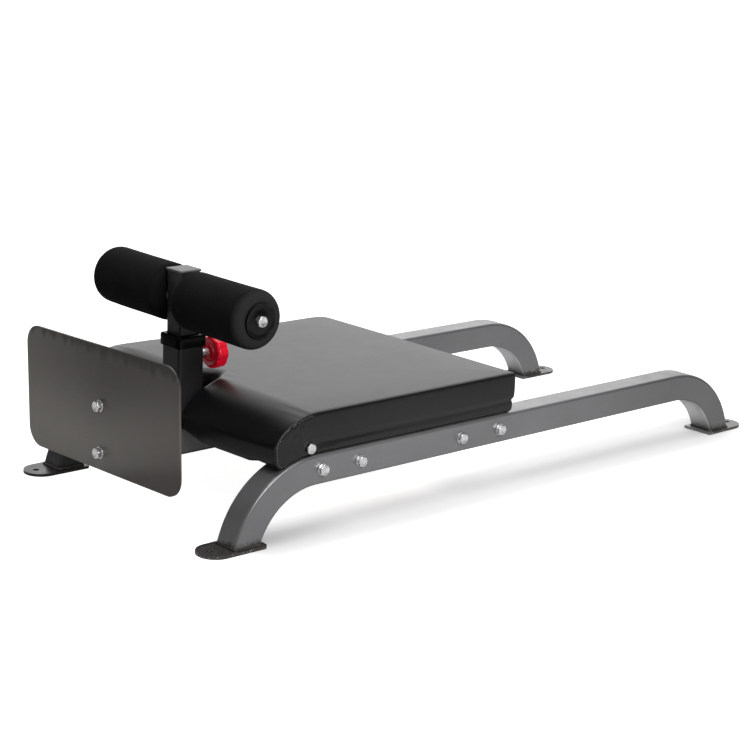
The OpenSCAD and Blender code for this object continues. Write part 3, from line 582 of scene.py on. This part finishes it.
def piece(name, shapes, slot, body="frame", replaces=()):
    """One mesh piece of several shapes, closed, facing outwards and riding on its body."""
    work = bmesh.new()
    for points, faces in shapes:
        made = [work.verts.new(p) for p in np.asarray(points) * MM]
        for face in faces:
            try:
                work.faces.new([made[i] for i in face])
            except ValueError:
                pass  # the face is there already
    bmesh.ops.remove_doubles(work, verts=work.verts, dist=MERGE * MM)
    bmesh.ops.dissolve_degenerate(work, edges=work.edges, dist=0.001 * MM)
    bmesh.ops.recalc_face_normals(work, faces=work.faces)
    mesh = bpy.data.meshes.new(name)
    work.to_mesh(mesh)
    work.free()
    mesh.materials.append(MATERIALS[slot])
    obj = bpy.data.objects.new(name, mesh)
    scene.collection.objects.link(obj)
    crisp(mesh, CRISP)
    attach(obj, body)
    if replaces:
        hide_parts(*replaces)
    return obj


def crisp(mesh, degrees):
    """Smooth shading with hard edges where faces turn by more than an angle."""
    work = bmesh.new()
    work.from_mesh(mesh)
    limit = math.radians(degrees)
    hard = [e.index for e in work.edges if len(e.link_faces) == 2 and e.calc_face_angle(0) > limit]
    work.free()
    for face in mesh.polygons:
        face.use_smooth = True
    for index in hard:
        mesh.edges[index].use_edge_sharp = True


def dress_cad():
    """Gives each CAD node its slot's material, crisp shading and, where edges show, a bevel."""
    slots = {part["node"]: part["material_slot"] for part in frame["record"]["subparts"]}
    for name, node in nodes.items():
        node.data.materials.clear()
        node.data.materials.append(MATERIALS[slots[name]])
        crisp(node.data, CRISP_CAD)
        if name in BEVELS:
            weld = node.modifiers.new("weld", "WELD")
            weld.merge_threshold = 0.01 * MM
            bevel = node.modifiers.new("bevel", "BEVEL")
            bevel.width = BEVELS[name] * MM
            bevel.segments = 2
            bevel.limit_method = "ANGLE"
            bevel.angle_limit = math.radians(50)
            node.modifiers.new("even", "WEIGHTED_NORMAL").weight = 100


# Pad, with heights counted from the rails' tops

# How far back the rolled front reaches, and how much the top falls off towards the edges
ROLL, CROWN = 79.0, 2.2
# Radii of the edges, of the notch's edges and of its rear edge
EDGE, NOTCH_EDGE, NOTCH_END_EDGE = 3.8, 4.0, 24.0
# The crease round the sides, over the tucked part
CREASE_Z = 24
# The grid that the pad is worked out on
CELL = 2.6
GRID_MARGIN, GRID_LOW = 7, -24.3
# Where a section is cut off, past the pad's rear
SECTION_END = 700
# Streaks where the cover wraps the front corner, as (x, width, height)
STREAKS = ((-463, 3.0, 0.4), (-454, 2.6, -0.45), (-446, 3.0, 0.4), (-436, 3.4, -0.3))


def smooth_step(t):
    t = np.clip(t, 0, 1)
    return t * t * (3 - 2 * t)


def hill(x, middle, width):
    return np.exp(-(((x - middle) / width) ** 2))


def ripple(seed, scale, *coords):
    """Smooth repeatable noise of about -1 to 1: waves in set directions."""
    draw = np.random.RandomState(seed)
    total = 0
    for _ in range(7):
        turn = draw.uniform(-1, 1, len(coords))
        turn /= np.linalg.norm(turn)
        phase, stretch = draw.uniform(0, 2 * math.pi), draw.uniform(0.6, 1.9)
        total = total + np.sin(sum(t * c for t, c in zip(turn, coords)) * stretch * scale + phase)
    return total / 3.5


def nose_height(y):
    """The height at which the front edge starts to roll back."""
    return 19.5 + 8 * (np.abs(y) / PAD_HALF) ** 4


def lip_depth(y):
    """How far the front edge hangs below the rails' tops."""
    marks = [(0, 8.5), (29, 8.5), (74, 19.5), (139, 17.5), (197.5, 17.5), (223.5, 11), (300, 11)]
    return float(np.interp(abs(y), *zip(*marks)))


def section(y):
    """The pad's section along its length at one y, as a closed line of (x, z) over the rails.

    Its lower front is drawn with a few points, and their corners are cut twice to round it."""
    t = 1 - np.cos(np.linspace(0, math.pi / 2, 28))
    low, lip = nose_height(y), lip_depth(y)
    top = low + (PAD_HEIGHT - low) * (1 - (1 - t) ** 1.6) ** 0.72
    line = list(zip(ROLL * t, top))
    line += [(SECTION_END, PAD_HEIGHT), (SECTION_END, 0)]
    under = [(59, 0), (38, -lip * 0.5), (17, -lip), (9.5, -lip * 0.9), (4.5, -lip * 0.55),
             (1.6, -lip * 0.1), (0.5, low * 0.4), (0, low * 0.8)]
    for _ in range(2):
        cut = [
            (a * p[0] + (1 - a) * q[0], a * p[1] + (1 - a) * q[1])
            for p, q in zip(under, under[1:]) for a in (0.75, 0.25)
        ]
        under = [under[0], *cut, under[-1]]
    return np.array(line + under)


def distance_to(line, x, z):
    """Signed distance to a closed line, below zero inside it."""
    a, b = line, np.roll(line, -1, 0)
    keep = np.hypot(*(b - a).T) > 1e-6
    a, b = a[keep], b[keep]
    p = np.stack([x.ravel(), z.ravel()], 1)
    best = np.full(len(p), 1e9)
    inside = np.zeros(len(p), bool)
    for (ax, az), (bx, bz) in zip(a, b):
        dx, dz = bx - ax, bz - az
        u = np.clip(((p[:, 0] - ax) * dx + (p[:, 1] - az) * dz) / (dx * dx + dz * dz), 0, 1)
        best = np.minimum(best, np.hypot(p[:, 0] - ax - u * dx, p[:, 1] - az - u * dz))
        across = (az > p[:, 1]) != (bz > p[:, 1])
        with np.errstate(divide="ignore", invalid="ignore"):
            inside ^= across & (p[:, 0] < (bx - ax) * (p[:, 1] - az) / (bz - az) + ax)
    return np.where(inside, -best, best).reshape(x.shape)


def tuck(along, z, seed, start):
    """How far a side wall stands out: a full upper panel, a crease, and a wrinkled band under it."""
    fade = smooth_step((along - start) / 50)
    crease = CREASE_Z + ripple(seed, 0.015, along) - 4 * (1 - fade)
    panel = 0.9 * np.sin(math.pi * np.clip((z - CREASE_Z) / 45, 0, 1))
    below = smooth_step((crease - z) / 3)
    folds = 0.5 * ripple(seed + 1, 0.13, along * 0.12, z * 4.0)
    folds = folds + 0.45 * ripple(seed + 2, 0.3, along * 0.06, z * 3.2)
    band = below * (folds * hill(z, crease - 12, 9) - 2.4 + 0.9 * hill(z, crease - 12, 6))
    drawn_in = 1.8 * smooth_step((6 - z) / 6)
    return panel + fade * (band - 1.4 * hill(z, crease - 1, 2.6)) - drawn_in


def left_slack(x):
    """How much lower the softer left edge of the pad lies than the right one."""
    return 4.5 + 8.0 * smooth_step((x + 420) / 250)


def pad_field(x, y, z):
    """Below zero inside the pad. The arrays are a grid's axes, with z counted from the rails' tops."""
    stations = np.unique(np.concatenate([np.linspace(0, PAD_HALF + 8, 25), [29, 74, 139, 197.5, 223.5]]))
    gx, gz = np.meshgrid(x - PAD_X, z, indexing="ij")
    cuts = np.stack([distance_to(section(s), gx, gz) for s in stations])
    place = np.interp(np.abs(y), stations, np.arange(len(stations)))
    low = np.minimum(place.astype(int), len(stations) - 2)
    part = (place - low)[:, None, None]
    body = cuts[low] * (1 - part) + cuts[low + 1] * part
    body = np.transpose(body, (1, 0, 2))
    X, Y, Z = np.meshgrid(x, y, z, indexing="ij", sparse=True)
    side_in = PAD_HALF - np.abs(Y)
    rear_in = PAD_REAR - X
    roll = smooth_step((X - PAD_X) / ROLL)
    crown = CROWN * (1 - np.clip(np.minimum(side_in, rear_in) / 90, 0, 1)) ** 2
    soft = 0.3 * ripple(3, 0.012, X, Y)
    near_side = smooth_step(1 - side_in / 95)
    streaks = sum(height * hill(X + 0.05 * side_in, middle, width) for middle, width, height in STREAKS)
    notch_in = np.where(X > NOTCH_X, np.hypot(X - NOTCH_X, Y) - NOTCH_HALF, np.abs(Y) - NOTCH_HALF)
    pull = 0.8 * hill(notch_in, 16, 14) * ripple(9, 0.11, X, Y)
    top_only = smooth_step((Z - 25) / 30)
    slack = left_slack(X) * np.clip(1 - side_in / 60, 0, 1) ** 2 * (Y > 0)
    body = body + top_only * (roll * (crown + slack) - 0.6 * soft - near_side * streaks - 0.6 * pull)
    body = body - (1 - roll) * 0.5 * ripple(12, 0.04, Y, Z)
    pucker = hill(side_in, 4, 10) * hill(Z, 52, 26) * hill(X, -480, 34) * ripple(15, 0.42, X, Z)
    side = -side_in - tuck(X, Z, 20, -470) - 0.9 * pucker
    side = side - 0.3 * hill(Z, PAD_HEIGHT - 3, 8) * ripple(16, 0.17, X)
    dimple = np.hypot(X - SIDE_BOLT_X, Z - (SIDE_BOLT_Z - RAIL_TOP))
    side = side + 1.2 * hill(dimple, 0, 14)
    rear = -rear_in - tuck(Y, Z, 40, -900)
    notch = -notch_in - 0.5 * ripple(30, 0.09, X + Y, Z)
    margin = np.minimum(np.minimum(side_in - 8, rear_in - 8), np.abs(X - PAD_X))
    flat = smooth_step((X + 460) / 10)
    body = np.maximum(body, -Z + flat * (0.7 * smooth_step((margin - 44) / 8)) - 40 * (1 - flat))
    end_share = smooth_step((X - NOTCH_X + 12) / 26) * smooth_step((Y + 22) / 22)
    turn = NOTCH_EDGE + (NOTCH_END_EDGE - NOTCH_EDGE) * end_share
    lip_round = np.sqrt(np.maximum(body + turn, 0) ** 2 + np.maximum(notch + turn, 0) ** 2)
    body = lip_round + np.minimum(np.maximum(body, notch) + turn, 0) - turn
    terms = [body, side, rear]
    wide = [np.maximum(t + EDGE, 0) ** 2 for t in terms]
    return np.sqrt(sum(wide)) + np.minimum(np.maximum.reduce(np.broadcast_arrays(*terms)) + EDGE, 0) - EDGE


def net(field, x, y, z):
    """A closed quad mesh of the surface where a field on a grid changes sign."""
    inside = field < 0
    shape = tuple(n - 1 for n in field.shape)
    total = np.zeros((*shape, 3))
    hits = np.zeros(shape)
    axes = [np.asarray(a, float) for a in (x, y, z)]
    origin = np.array([a[0] for a in axes])
    step = np.array([a[1] - a[0] for a in axes])
    crossings = []
    for axis in range(3):
        a = [slice(None)] * 3
        b = [slice(None)] * 3
        a[axis], b[axis] = slice(None, -1), slice(1, None)
        a, b = tuple(a), tuple(b)
        crosses = inside[a] != inside[b]
        index = np.argwhere(crosses)
        fa, fb = field[a][crosses], field[b][crosses]
        place = index.astype(float)
        place[:, axis] += fa / (fa - fb)
        crossings.append((axis, index, inside[a][crosses]))
        u, v = [k for k in range(3) if k != axis]
        for du in (0, -1):
            for dv in (0, -1):
                cell = index.copy()
                cell[:, u] += du
                cell[:, v] += dv
                good = np.all((cell >= 0) & (cell < shape), axis=1)
                where = tuple(cell[good].T)
                np.add.at(total, where, place[good])
                np.add.at(hits, where, 1)
    used = hits > 0
    numbers = np.full(shape, -1)
    numbers[used] = np.arange(used.sum())
    points = total[used] / hits[used][:, None] * step + origin
    faces = []
    for axis, index, low_inside in crossings:
        u, v = [(1, 2), (2, 0), (0, 1)][axis]
        corners = []
        for du, dv in ((0, 0), (-1, 0), (-1, -1), (0, -1)):
            cell = index.copy()
            cell[:, u] += du
            cell[:, v] += dv
            corners.append(numbers[tuple(np.clip(cell, 0, np.array(shape) - 1).T)])
        quads = np.stack(corners, 1)
        quads = np.where(low_inside[:, None], quads, quads[:, ::-1])
        faces.append(quads[(quads >= 0).all(1)])
    return points, np.concatenate(faces)


def make_pad():
    x = np.arange(PAD_X - GRID_MARGIN, PAD_REAR + GRID_MARGIN + 1, CELL)
    y = np.arange(-PAD_HALF - GRID_MARGIN, PAD_HALF + GRID_MARGIN + 1, CELL)
    z = np.arange(GRID_LOW, PAD_HEIGHT + GRID_MARGIN, CELL)
    points, quads = net(pad_field(x, y, z), x, y, z)
    points[:, 2] += RAIL_TOP
    mesh = bpy.data.meshes.new("pad")
    mesh.from_pydata((points * MM).tolist(), [], quads.tolist())
    mesh.validate()
    mesh.materials.append(MATERIALS["pad_vinyl"])
    for face in mesh.polygons:
        face.use_smooth = True
    obj = bpy.data.objects.new("pad", mesh)
    scene.collection.objects.link(obj)
    ease = obj.modifiers.new("ease", "SMOOTH")
    ease.factor, ease.iterations = 0.5, 2
    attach(obj, "frame")
    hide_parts("pad_cover", "pad_foam")
    return obj


def pad_edge(side):
    """The seam between a side panel and the wrapped one, as points with their outward lean."""
    line = section(PAD_HALF)
    last = int(np.argmax(line[:, 0] == SECTION_END))
    under = line[last + 1:]
    points = np.concatenate([under[under[:, 0] < 30], line[:last], [(PAD_REAR - PAD_X - 4, PAD_HEIGHT)]])
    points = points[np.concatenate([[True], np.hypot(*np.diff(points, axis=0).T) > 0.05])]
    length = np.concatenate([[0], np.cumsum(np.hypot(*np.diff(points, axis=0).T))])
    at = np.arange(0, length[-1], 1.25)
    x, z = np.interp(at, length, points[:, 0]), np.interp(at, length, points[:, 1])
    dx, dz = np.gradient(x), np.gradient(z)
    nx, nz = -dz / np.hypot(dx, dz), dx / np.hypot(dx, dz)
    inset = EDGE * (1 - math.sqrt(0.5)) + 0.2 * ripple(50, 0.07, at)
    drop = (CROWN + (left_slack(x + PAD_X) if side > 0 else 0)) * smooth_step(x / ROLL)
    path_x, path_z = PAD_X + x - nx * inset, RAIL_TOP + z - drop - nz * inset
    path = np.stack([path_x, side * (PAD_HALF - inset), path_z], 1)
    lean = np.stack([nx, np.full(len(at), side), nz], 1) / math.sqrt(2)
    return at, path, lean


def make_pad_seams():
    """A fine welt along both side edges, with short stitches beside it round the front, in a light thread
    that is partly a painted highlight on the seam.
    """
    welts, stitches = [], []
    for side in (-1, 1):
        at, path, lean = pad_edge(side)
        beads = 0.3 * np.sin(at * math.pi / 2.5) + 0.12 * ripple(60, 0.35, at)
        welts.append(swept(path + 0.1 * lean, 0.75 + beads, closed=False))
        around_front = int(np.argmax(path[:, 0] > PAD_X + ROLL * 0.9))
        for k in range(2, around_front, 4):
            to_panel = -2.6 * lean[k] * (1, 0, 1) / 0.7071 + np.array([0, side * (EDGE * 0.29 - 0.1), 0])
            a, b = path[k] + to_panel, path[k + 2] + to_panel
            middle = (a + b) / 2 + np.array([0, side * 0.25, 0])
            stitches.append(swept(np.array([a, middle, b]), 0.45, 6, closed=False))
    piece("pad_welts", welts, "pad_vinyl")
    piece("pad_stitches", stitches, "thread")


def make_staples():
    """Staples that hold the turned cover to the board's underside."""
    shapes = []
    draw = np.random.RandomState(8)
    # (x, y, turn in degrees)
    spots = [(x, s * 214, 90) for s in (-1, 1) for x in np.arange(-330, -95, 26)]
    spots += [(-20, y, 0) for y in np.arange(-200, 201, 25)]
    for x, y, turn in spots:
        x, y = x + draw.uniform(-3, 3), y + draw.uniform(-3, 3)
        a = math.radians(turn + draw.uniform(-14, 14) + 90)
        dx, dy = 5 * math.cos(a), 5 * math.sin(a)
        z = RAIL_TOP - 0.35
        path = [(x - dx, y - dy, z + 2), (x - dx, y - dy, z), (x + dx, y + dy, z), (x + dx, y + dy, z + 2)]
        shapes.append(swept(np.array(path, float), 0.45, 6, closed=False))
    piece("pad_staples", shapes, "pin_steel")


# Ankle rollers


def make_roller(name, side, body):
    """A foam sleeve with puffy ends round the end disc. The left one was moulded off centre."""
    left = side > 0
    r, core = FOAM_RADIUS + (-0.3 if left else 0.2), FOAM_BORE
    inner, outer, corner, puff = FOAM_IN + 13, FOAM_OUT - 14.5, 13, 16.5
    profile = [(FOAM_IN + 6, core), (FOAM_IN + 1.2, core + 1.5), (FOAM_IN + 0.2, core + 5)]
    profile += [(FOAM_IN + 0.2, core + 12)]
    profile += arc(inner, r - corner, corner, 180, 90, 8)
    profile += [(y, r) for y in np.linspace(inner, outer, 22)[1:-1]]
    profile += arc(outer, r - puff, puff, 90, 12, 10)
    profile += [(FOAM_OUT + 1.8, DISC_RADIUS + 2.2), (FOAM_OUT + 0.2, DISC_RADIUS + 0.4)]
    profile += [(FOAM_OUT - 0.6, core + 4), (FOAM_OUT - 1.4, core + 1), (FOAM_OUT - 5, core)]

    def uneven(along, radius, angles):
        sway = 0.35 * ripple(70 + side, 0.03, along + 0 * angles, 60 * np.cos(angles), 60 * np.sin(angles))
        off_centre = (3.0 + 0.0127 * (along - FOAM_IN)) * np.sin(angles) if left else 0.0
        return radius + (sway + off_centre) * min(1.0, max(0.0, (radius - core) / 18))

    shape = turned(profile, 128, "y", (POST_X, 0, AXLE_Z), uneven, flip=side)
    obj = piece(name, [shape], "roller_foam", body, [f"{body}_foam"])


def make_end_discs():
    """Dished plastic discs with a raised rim, one on each end of the axle."""
    r, t = DISC_RADIUS, DISC_T
    rim = [(0.8, r), (t - 0.3, r), (t + 0.4, r - 0.6), (t + 0.5, r - 1.4), (t + 0.2, r - 2.2)]
    dish = [(t - 0.9, r - 4), (t - 1.1, r - 7), (t - 0.9, 14), (t - 0.2, 12.5), (t, 11)]
    profile = [(0, 5.5), (0, r - 0.8), *rim, *dish, (t, 5.5), (0, 5.5)]
    shapes = [turned(profile, 96, "y", (POST_X, s * AXLE_END, AXLE_Z), flip=s) for s in (-1, 1)]
    piece("end_discs", shapes, "disc_plastic", "roller_post", ["roller_end_discs"])


# Knob


def make_knob():
    """A moulded knob of eight lobes, with a ring boss towards the barrel and a dished outer face."""
    r, thick, lobe_depth = half_of("pin_knob", "y"), 2 * half_of("pin_knob", "x"), 1.7
    bore = [(13.8, 3.04), (0.4, 3.04), (0, 3.8)]
    boss = [(0, 10.5), (0.5, 11.2), (1.8, 11.4), (2.2, 12), (1.6, 13), (0.2, 13.6), (0, 14.4), (0.5, 15.2)]
    back = [(2.0, 15.6), (2.4, 17), (2.2, r - 6.4)]
    back += [(9.7 - 7.5 * math.cos(a), r - 6 + 6 * math.sin(a)) for a in np.radians(np.linspace(8, 90, 9))]
    grip = [(x, r) for x in np.linspace(11, thick - 5.5, 6)] + arc(thick - 4.5, r - 4.5, 4.5, 90, 6, 8)
    # The outer face's dish, as (depth, radius)
    dish = [(0.2, 19), (0.9, 17.4), (2.2, 16.8), (2.6, 15.5), (2.5, 9), (1.6, 8), (0.7, 6.4), (0.3, 4)]
    profile = bore + boss + back + grip + [(thick - sunk, radius) for sunk, radius in dish + [(0.2, 0.02)]]

    def lobes(along, radius, angles):
        wave = 1 - np.abs(np.cos(4 * angles)) ** 0.9
        share = float(smooth_step((radius - 16) / 10))
        return radius - lobe_depth * share * wave

    shape = turned(profile, 256, "x", (KNOB_X, 0, PIN_Z), lobes)
    piece("knob", [shape], "knob_red", "lock_pin", ["pin_knob"])
    insert = [(-0.1, 3.1), (-0.1, 6.0), (0.3, 6.4), (1.9, 6.4), (2.1, 6.0), (2.1, 3.1)]
    piece("knob_insert", [turned(insert, 48, "x", (KNOB_X, 0, PIN_Z))], "zinc", "lock_pin")


# Collar, cap and fasteners


def make_collar():
    """The collar over the sleeve's end, with a thin lining that runs down inside it."""
    inner, outer = 20.3, half_of("sleeve_collar", "x")
    bottom, top = span("sleeve_collar", "z")
    low = SLEEVE_TOP - 16.5
    seat, lining = (25.3, 5.3), (22.7, 3)
    levels = [(*seat, low), (outer - 0.9, 6.6, low)]
    levels += [(outer, 7, height) for height in (low + 0.9, low + 5, low + 10, top - 3)]
    levels += [
        (outer - 3 + 3 * math.cos(a), 7, top - 3 + 3 * math.sin(a)) for a in np.radians([25, 50, 70, 90])
    ]
    levels += [(23.5, 5, top + 0.1), (inner + 1, 4.4, top - 0.1), (inner, 4, top - 1), (inner, 4, bottom)]
    levels += [(*lining, bottom), (*lining, SLEEVE_TOP - 0.3), (*seat, SLEEVE_TOP - 0.3), (*seat, low)]
    piece("collar", [stacked(levels, (POST_X, 0, 0))], "collar_plastic", "frame", ["sleeve_collar"])


def make_cap():
    """The post's end cap: a slightly domed lid with a lip."""
    bottom, top = span("post_cap", "z")
    z, half = span("inner_post", "z")[1], half_of("post_cap", "x")
    levels = [(0.3, 0.1, bottom), (17.8, 2, bottom), (17.8, 2, z), (half - 0.6, 4.6, z)]
    levels += [(half, 5, z + 0.6), (half, 5, z + 2)]
    levels += [(half - 2 + 2 * math.cos(a), 5, z + 2 + 1.6 * math.sin(a)) for a in np.radians([30, 60, 90])]
    levels += [(14, 4, top - 0.1), (7, 3, top), (0.3, 0.1, top)]
    piece("cap", [stacked(levels, (POST_X, 0, 0))], "cap_plastic", "roller_post", ["post_cap"])


def hex_bolt(place, axis, flip, turn, flats=17.0, head=6.4, shank=10.0, length=40.0, thread=16.0):
    """A hexagon bolt: chamfered head with a shallow dish, plain shank and a threaded end.

    place is where the head's underside lies, and flip the way that the head points."""
    corner = flats / 2 / math.cos(math.radians(30))
    pitch, thread_depth = 1.5, 0.42

    def hexagon(along, radius, angles):
        if radius < shank / 2 + 0.3 or along < 0.05:
            screw = 0.0
            if along < thread - length:
                wave = (along / pitch - flip * angles / (2 * math.pi)) % 1.0
                screw = thread_depth * (np.abs(wave * 2 - 1) - 1)
            return radius + screw * np.ones_like(angles)
        sector = (angles + math.radians(30)) % math.radians(60) - math.radians(30)
        return np.minimum(flats / 2 / np.cos(sector), radius)

    r = shank / 2
    tail = np.arange(-length + 1.0, thread - length, 0.25)
    profile = [(-length, 0.02), (-length, r - 1.1), (-length + 0.9, r - 0.25)] + [(a, r) for a in tail]
    profile += [(thread - length + 0.4, r), (0.0, r)]
    profile += [(0.0, flats * 0.47), (0.06, flats * 0.48), (0.5, corner * 0.99), (0.9, corner + 0.1)]
    profile += [(head - 1.9, corner + 0.1), (head - 0.9, corner - 0.75), (head - 0.3, flats * 0.49)]
    profile += [(head, flats * 0.46), (head, flats * 0.4), (head - 0.35, flats * 0.36), (head - 0.4, 0.02)]
    return turned(profile, 72, axis, place, hexagon, flip, math.radians(turn))


def make_bolts():
    """Every hexagon bolt, its head turned as in the photo, in degrees."""
    rail, washer_y = [], span("rail_washers", "y")[1]
    at_cross_tubes = (
        (FRONT_CROSS_X - 40, 8), (FRONT_CROSS_X + 40, 21), (REAR_CROSS_X - 46, 37), (REAR_CROSS_X + 46, 14),
    )
    for s in (-1, 1):
        rail += [hex_bolt((x, s * washer_y, TUBE_Z), "y", s, turn, length=71) for x, turn in at_cross_tubes]
    piece("rail_hex_bolts", rail, "zinc", "frame", ["rail_bolts"])
    washer_x = span("foot_plate_spring_washers", "x")[0]
    plate = [
        hex_bolt((washer_x, 0, z), "x", -1, turn, length=25, thread=12)
        for z, turn in zip(PLATE_BOLT_ZS, (12, 27))
    ]
    piece("plate_hex_bolts", plate, "zinc", "frame", ["foot_plate_bolts"])
    ends = [hex_bolt((POST_X, s * (AXLE_END + DISC_T), AXLE_Z), "y", s, 18, length=25) for s in (-1, 1)]
    piece("roller_hex_bolts", ends, "zinc", "roller_post", ["roller_end_bolts"])
    sides = [
        hex_bolt((SIDE_BOLT_X, s * PAD_HALF, SIDE_BOLT_Z), "y", s, 11, flats=16.2, head=3.9, length=30.5)
        for s in (-1, 1)
    ]
    piece("side_hex_bolts", sides, "zinc", "frame", ["pad_side_bolts"])


# Welds


def bead(path, radius, seed):
    """A weld bead along a closed path: a low tube with the ripples of its pools."""
    path = np.asarray(path, float)
    closed = np.vstack([path, path[:1]])
    length = np.concatenate([[0], np.cumsum(np.linalg.norm(np.diff(closed, axis=0), axis=1))])
    at = np.arange(0, length[-1], 1.1)
    points = np.stack([np.interp(at, length, closed[:, k]) for k in range(3)], 1)
    pool = 0.14 * np.abs(np.sin(at * math.pi / 3.4)) + 0.1 * ripple(seed, 0.12, at)
    return swept(points, radius * (0.9 + pool), sides=10)


def frame_loop(plane, centre, half_u, half_v):
    """A tube's outline in a plane ("xy", "xz" or "yz") about a centre."""
    loop = round_loop(half_u, half_v, TUBE_CORNER)
    out = np.tile(np.asarray(centre, float), (len(loop), 1))
    for k, axis in enumerate(plane):
        out[:, "xyz".index(axis)] += loop[:, k]
    return out


def make_welds():
    """Beads round the feet, the frame's joints, the barrel and the axle; each has its own seed."""
    feet = []
    half = TUBE / 2
    for end, bend in ((1, REAR_BEND_X), (-1, FRONT_BEND_X)):
        middle, reach = bend + end * (BEND_IN + BEND_OUT) / 2, (BEND_OUT - BEND_IN) / 2
        for s in (-1, 1):
            loop = frame_loop("xy", (middle, s * RAIL_Y, FOOT_T + 0.6), reach, half)
            feet.append(bead(loop, 2.6, 80 + end + 3 * s))
    piece("foot_welds", feet, "weld_coat")
    joints = [
        bead(frame_loop("xy", (POST_X, 0, RAIL_TOP + 0.5), half, half), 2.4, 90),
        bead(frame_loop("yz", (SPINE_START + 0.5, 0, TUBE_Z), half, half), 2.4, 91),
        bead(frame_loop("yz", (SPINE_END - 0.5, 0, TUBE_Z), half, half - 1), 2.4, 92),
    ]
    for k, x in enumerate((FRONT_CROSS_X, REAR_CROSS_X)):
        for s in (-1, 1):
            loop = frame_loop("xz", (x, s * (CROSS_END - 0.5), TUBE_Z), half, half - 2)
            joints.append(bead(loop, 2.2, 93 + k + 2 * s))
    angles = np.linspace(0, 2 * math.pi, 40, endpoint=False)
    flat, cosine, sine = np.ones(40), np.cos(angles), np.sin(angles)
    ring = np.stack([flat * (SLEEVE_REAR + 0.4), 7.6 * cosine, PIN_Z + 7.6 * sine], 1)
    joints.append(bead(ring, 1.5, 99))
    piece("frame_welds", joints, "weld_dark")
    axle = []
    for s in (-1, 1):
        ring = np.stack([POST_X + 12.6 * cosine, flat * s * 20.4, AXLE_Z + 12.6 * sine], 1)
        axle.append(bead(ring, 1.5, 104 + s))
    piece("axle_welds", axle, "weld_dark", "roller_post")


# Studio, in metres

FLOOR_GLOW = 0.95
SKY_BRIGHT_WAY = (0.67, 0.73, 0.13)
SKY_SPREAD, SKY_RISE = (0.55, 0.97), (-0.12, 0.2)
SKY_PEAK, SKY_FLOOR = 1.45, 0.13

# The painted shadow strip beside the near rail: where each side and end starts and is full
SHADE_INSIDE, SHADE_OUTSIDE = (-0.16, -0.24), (-0.41, -0.3)
SHADE_ENDS = ((-0.62, -0.54), (0.7, 0.62))
PAST_PAD = (-0.13, 0.09)


def make_floor():
    """A pale floor that shows as white where nothing shades it, with a painted shadow strip beside the near
    rail.
    """
    n = Nodes("floor")
    n.colour(n.mix(n.noise(2.0), (0.67, 0.67, 0.67), (0.69, 0.69, 0.69)))
    n.set(Roughness=0.9, Specular_IOR_Level=0.0, Emission_Color=(1.0, 1.0, 1.0, 1.0))
    x, y, _ = n.axes()
    # Past the pad the floor is lit from behind too, and the painted shadow strip needs more of its own
    # shade.
    lit = n.remap(x, *PAST_PAD)
    inside = n.step(n.maths("SUBTRACT", y, n.maths("MULTIPLY", lit, 0.045)), *SHADE_INSIDE)
    wide = n.product(inside, n.step(y, *SHADE_OUTSIDE), n.remap(lit, 0.0, 1.0, 0.56, 0.6))
    middle = n.product(n.bell(y, -0.236, 0.034), lit, 0.2)
    by_foot = n.product(n.bell(y, -0.252, 0.036), n.remap(x, -0.34, -0.5, 0.0, 0.24))
    painted_shadow = n.maths("ADD", wide, n.maths("ADD", middle, by_foot))
    painted_shadow = n.product(painted_shadow, *[n.step(x, *end) for end in SHADE_ENDS])
    to_camera = n.add("ShaderNodeLightPath").outputs["Is Camera Ray"]
    glow = n.maths("MULTIPLY", to_camera, n.maths("SUBTRACT", FLOOR_GLOW, painted_shadow))
    n.link(glow, n.shader.inputs["Emission Strength"])
    bpy.ops.mesh.primitive_plane_add(size=60, location=(0, 0, -0.0005))
    floor = bpy.context.object
    floor.name = "floor"
    floor.data.materials.append(n.material)


def make_world():
    """White to the camera; for light and reflections one broad bright side, behind and to the right."""
    world = bpy.data.worlds.new("world")
    scene.world = world
    world.use_nodes = True
    n = Tree(world.node_tree, "Generated")
    sky = n.tree.nodes["Background"]
    sky.inputs["Color"].default_value = (1, 1, 1, 1)
    along = n.add("ShaderNodeVectorMath", operation="DOT_PRODUCT")
    n.link(n.place, along.inputs[0])
    along.inputs[1].default_value = SKY_BRIGHT_WAY
    bright = n.product(n.step(along.outputs["Value"], *SKY_SPREAD), n.step(n.axes()[2], *SKY_RISE))
    strength = n.maths("ADD", n.maths("MULTIPLY", bright, SKY_PEAK), SKY_FLOOR)
    pick = n.add("ShaderNodeMix")
    n.link(n.add("ShaderNodeLightPath").outputs["Is Camera Ray"], pick.inputs[0])
    n.link(strength, pick.inputs[2])
    pick.inputs[3].default_value = 1.0
    n.link(pick.outputs[0], sky.inputs["Strength"])


def make_lamp(name, place, size, power):
    """A square lamp that looks at the object's middle."""
    data = bpy.data.lights.new(name, "AREA")
    data.shape = "RECTANGLE"
    data.size, data.size_y, data.energy = size, size, power
    lamp = bpy.data.objects.new(name, data)
    scene.collection.objects.link(lamp)
    lamp.location = place
    lamp.rotation_euler = (Vector((0, 0, 0.1)) - Vector(place)).to_track_quat("-Z", "Y").to_euler()


scene.view_settings.view_transform = "Standard"
make_camera()
dress_cad()
make_pad()
make_pad_seams()
make_staples()
make_roller("right_foam", -1, "right_roller")
make_roller("left_foam", 1, "left_roller")
make_end_discs()
make_knob()
make_collar()
make_cap()
make_bolts()
make_welds()
make_floor()
make_world()
make_lamp("overhead", (0.2, 0.2, 2.6), 2.6, 46)
make_lamp("key", (-0.8, -2.4, 1.9), 1.5, 54)
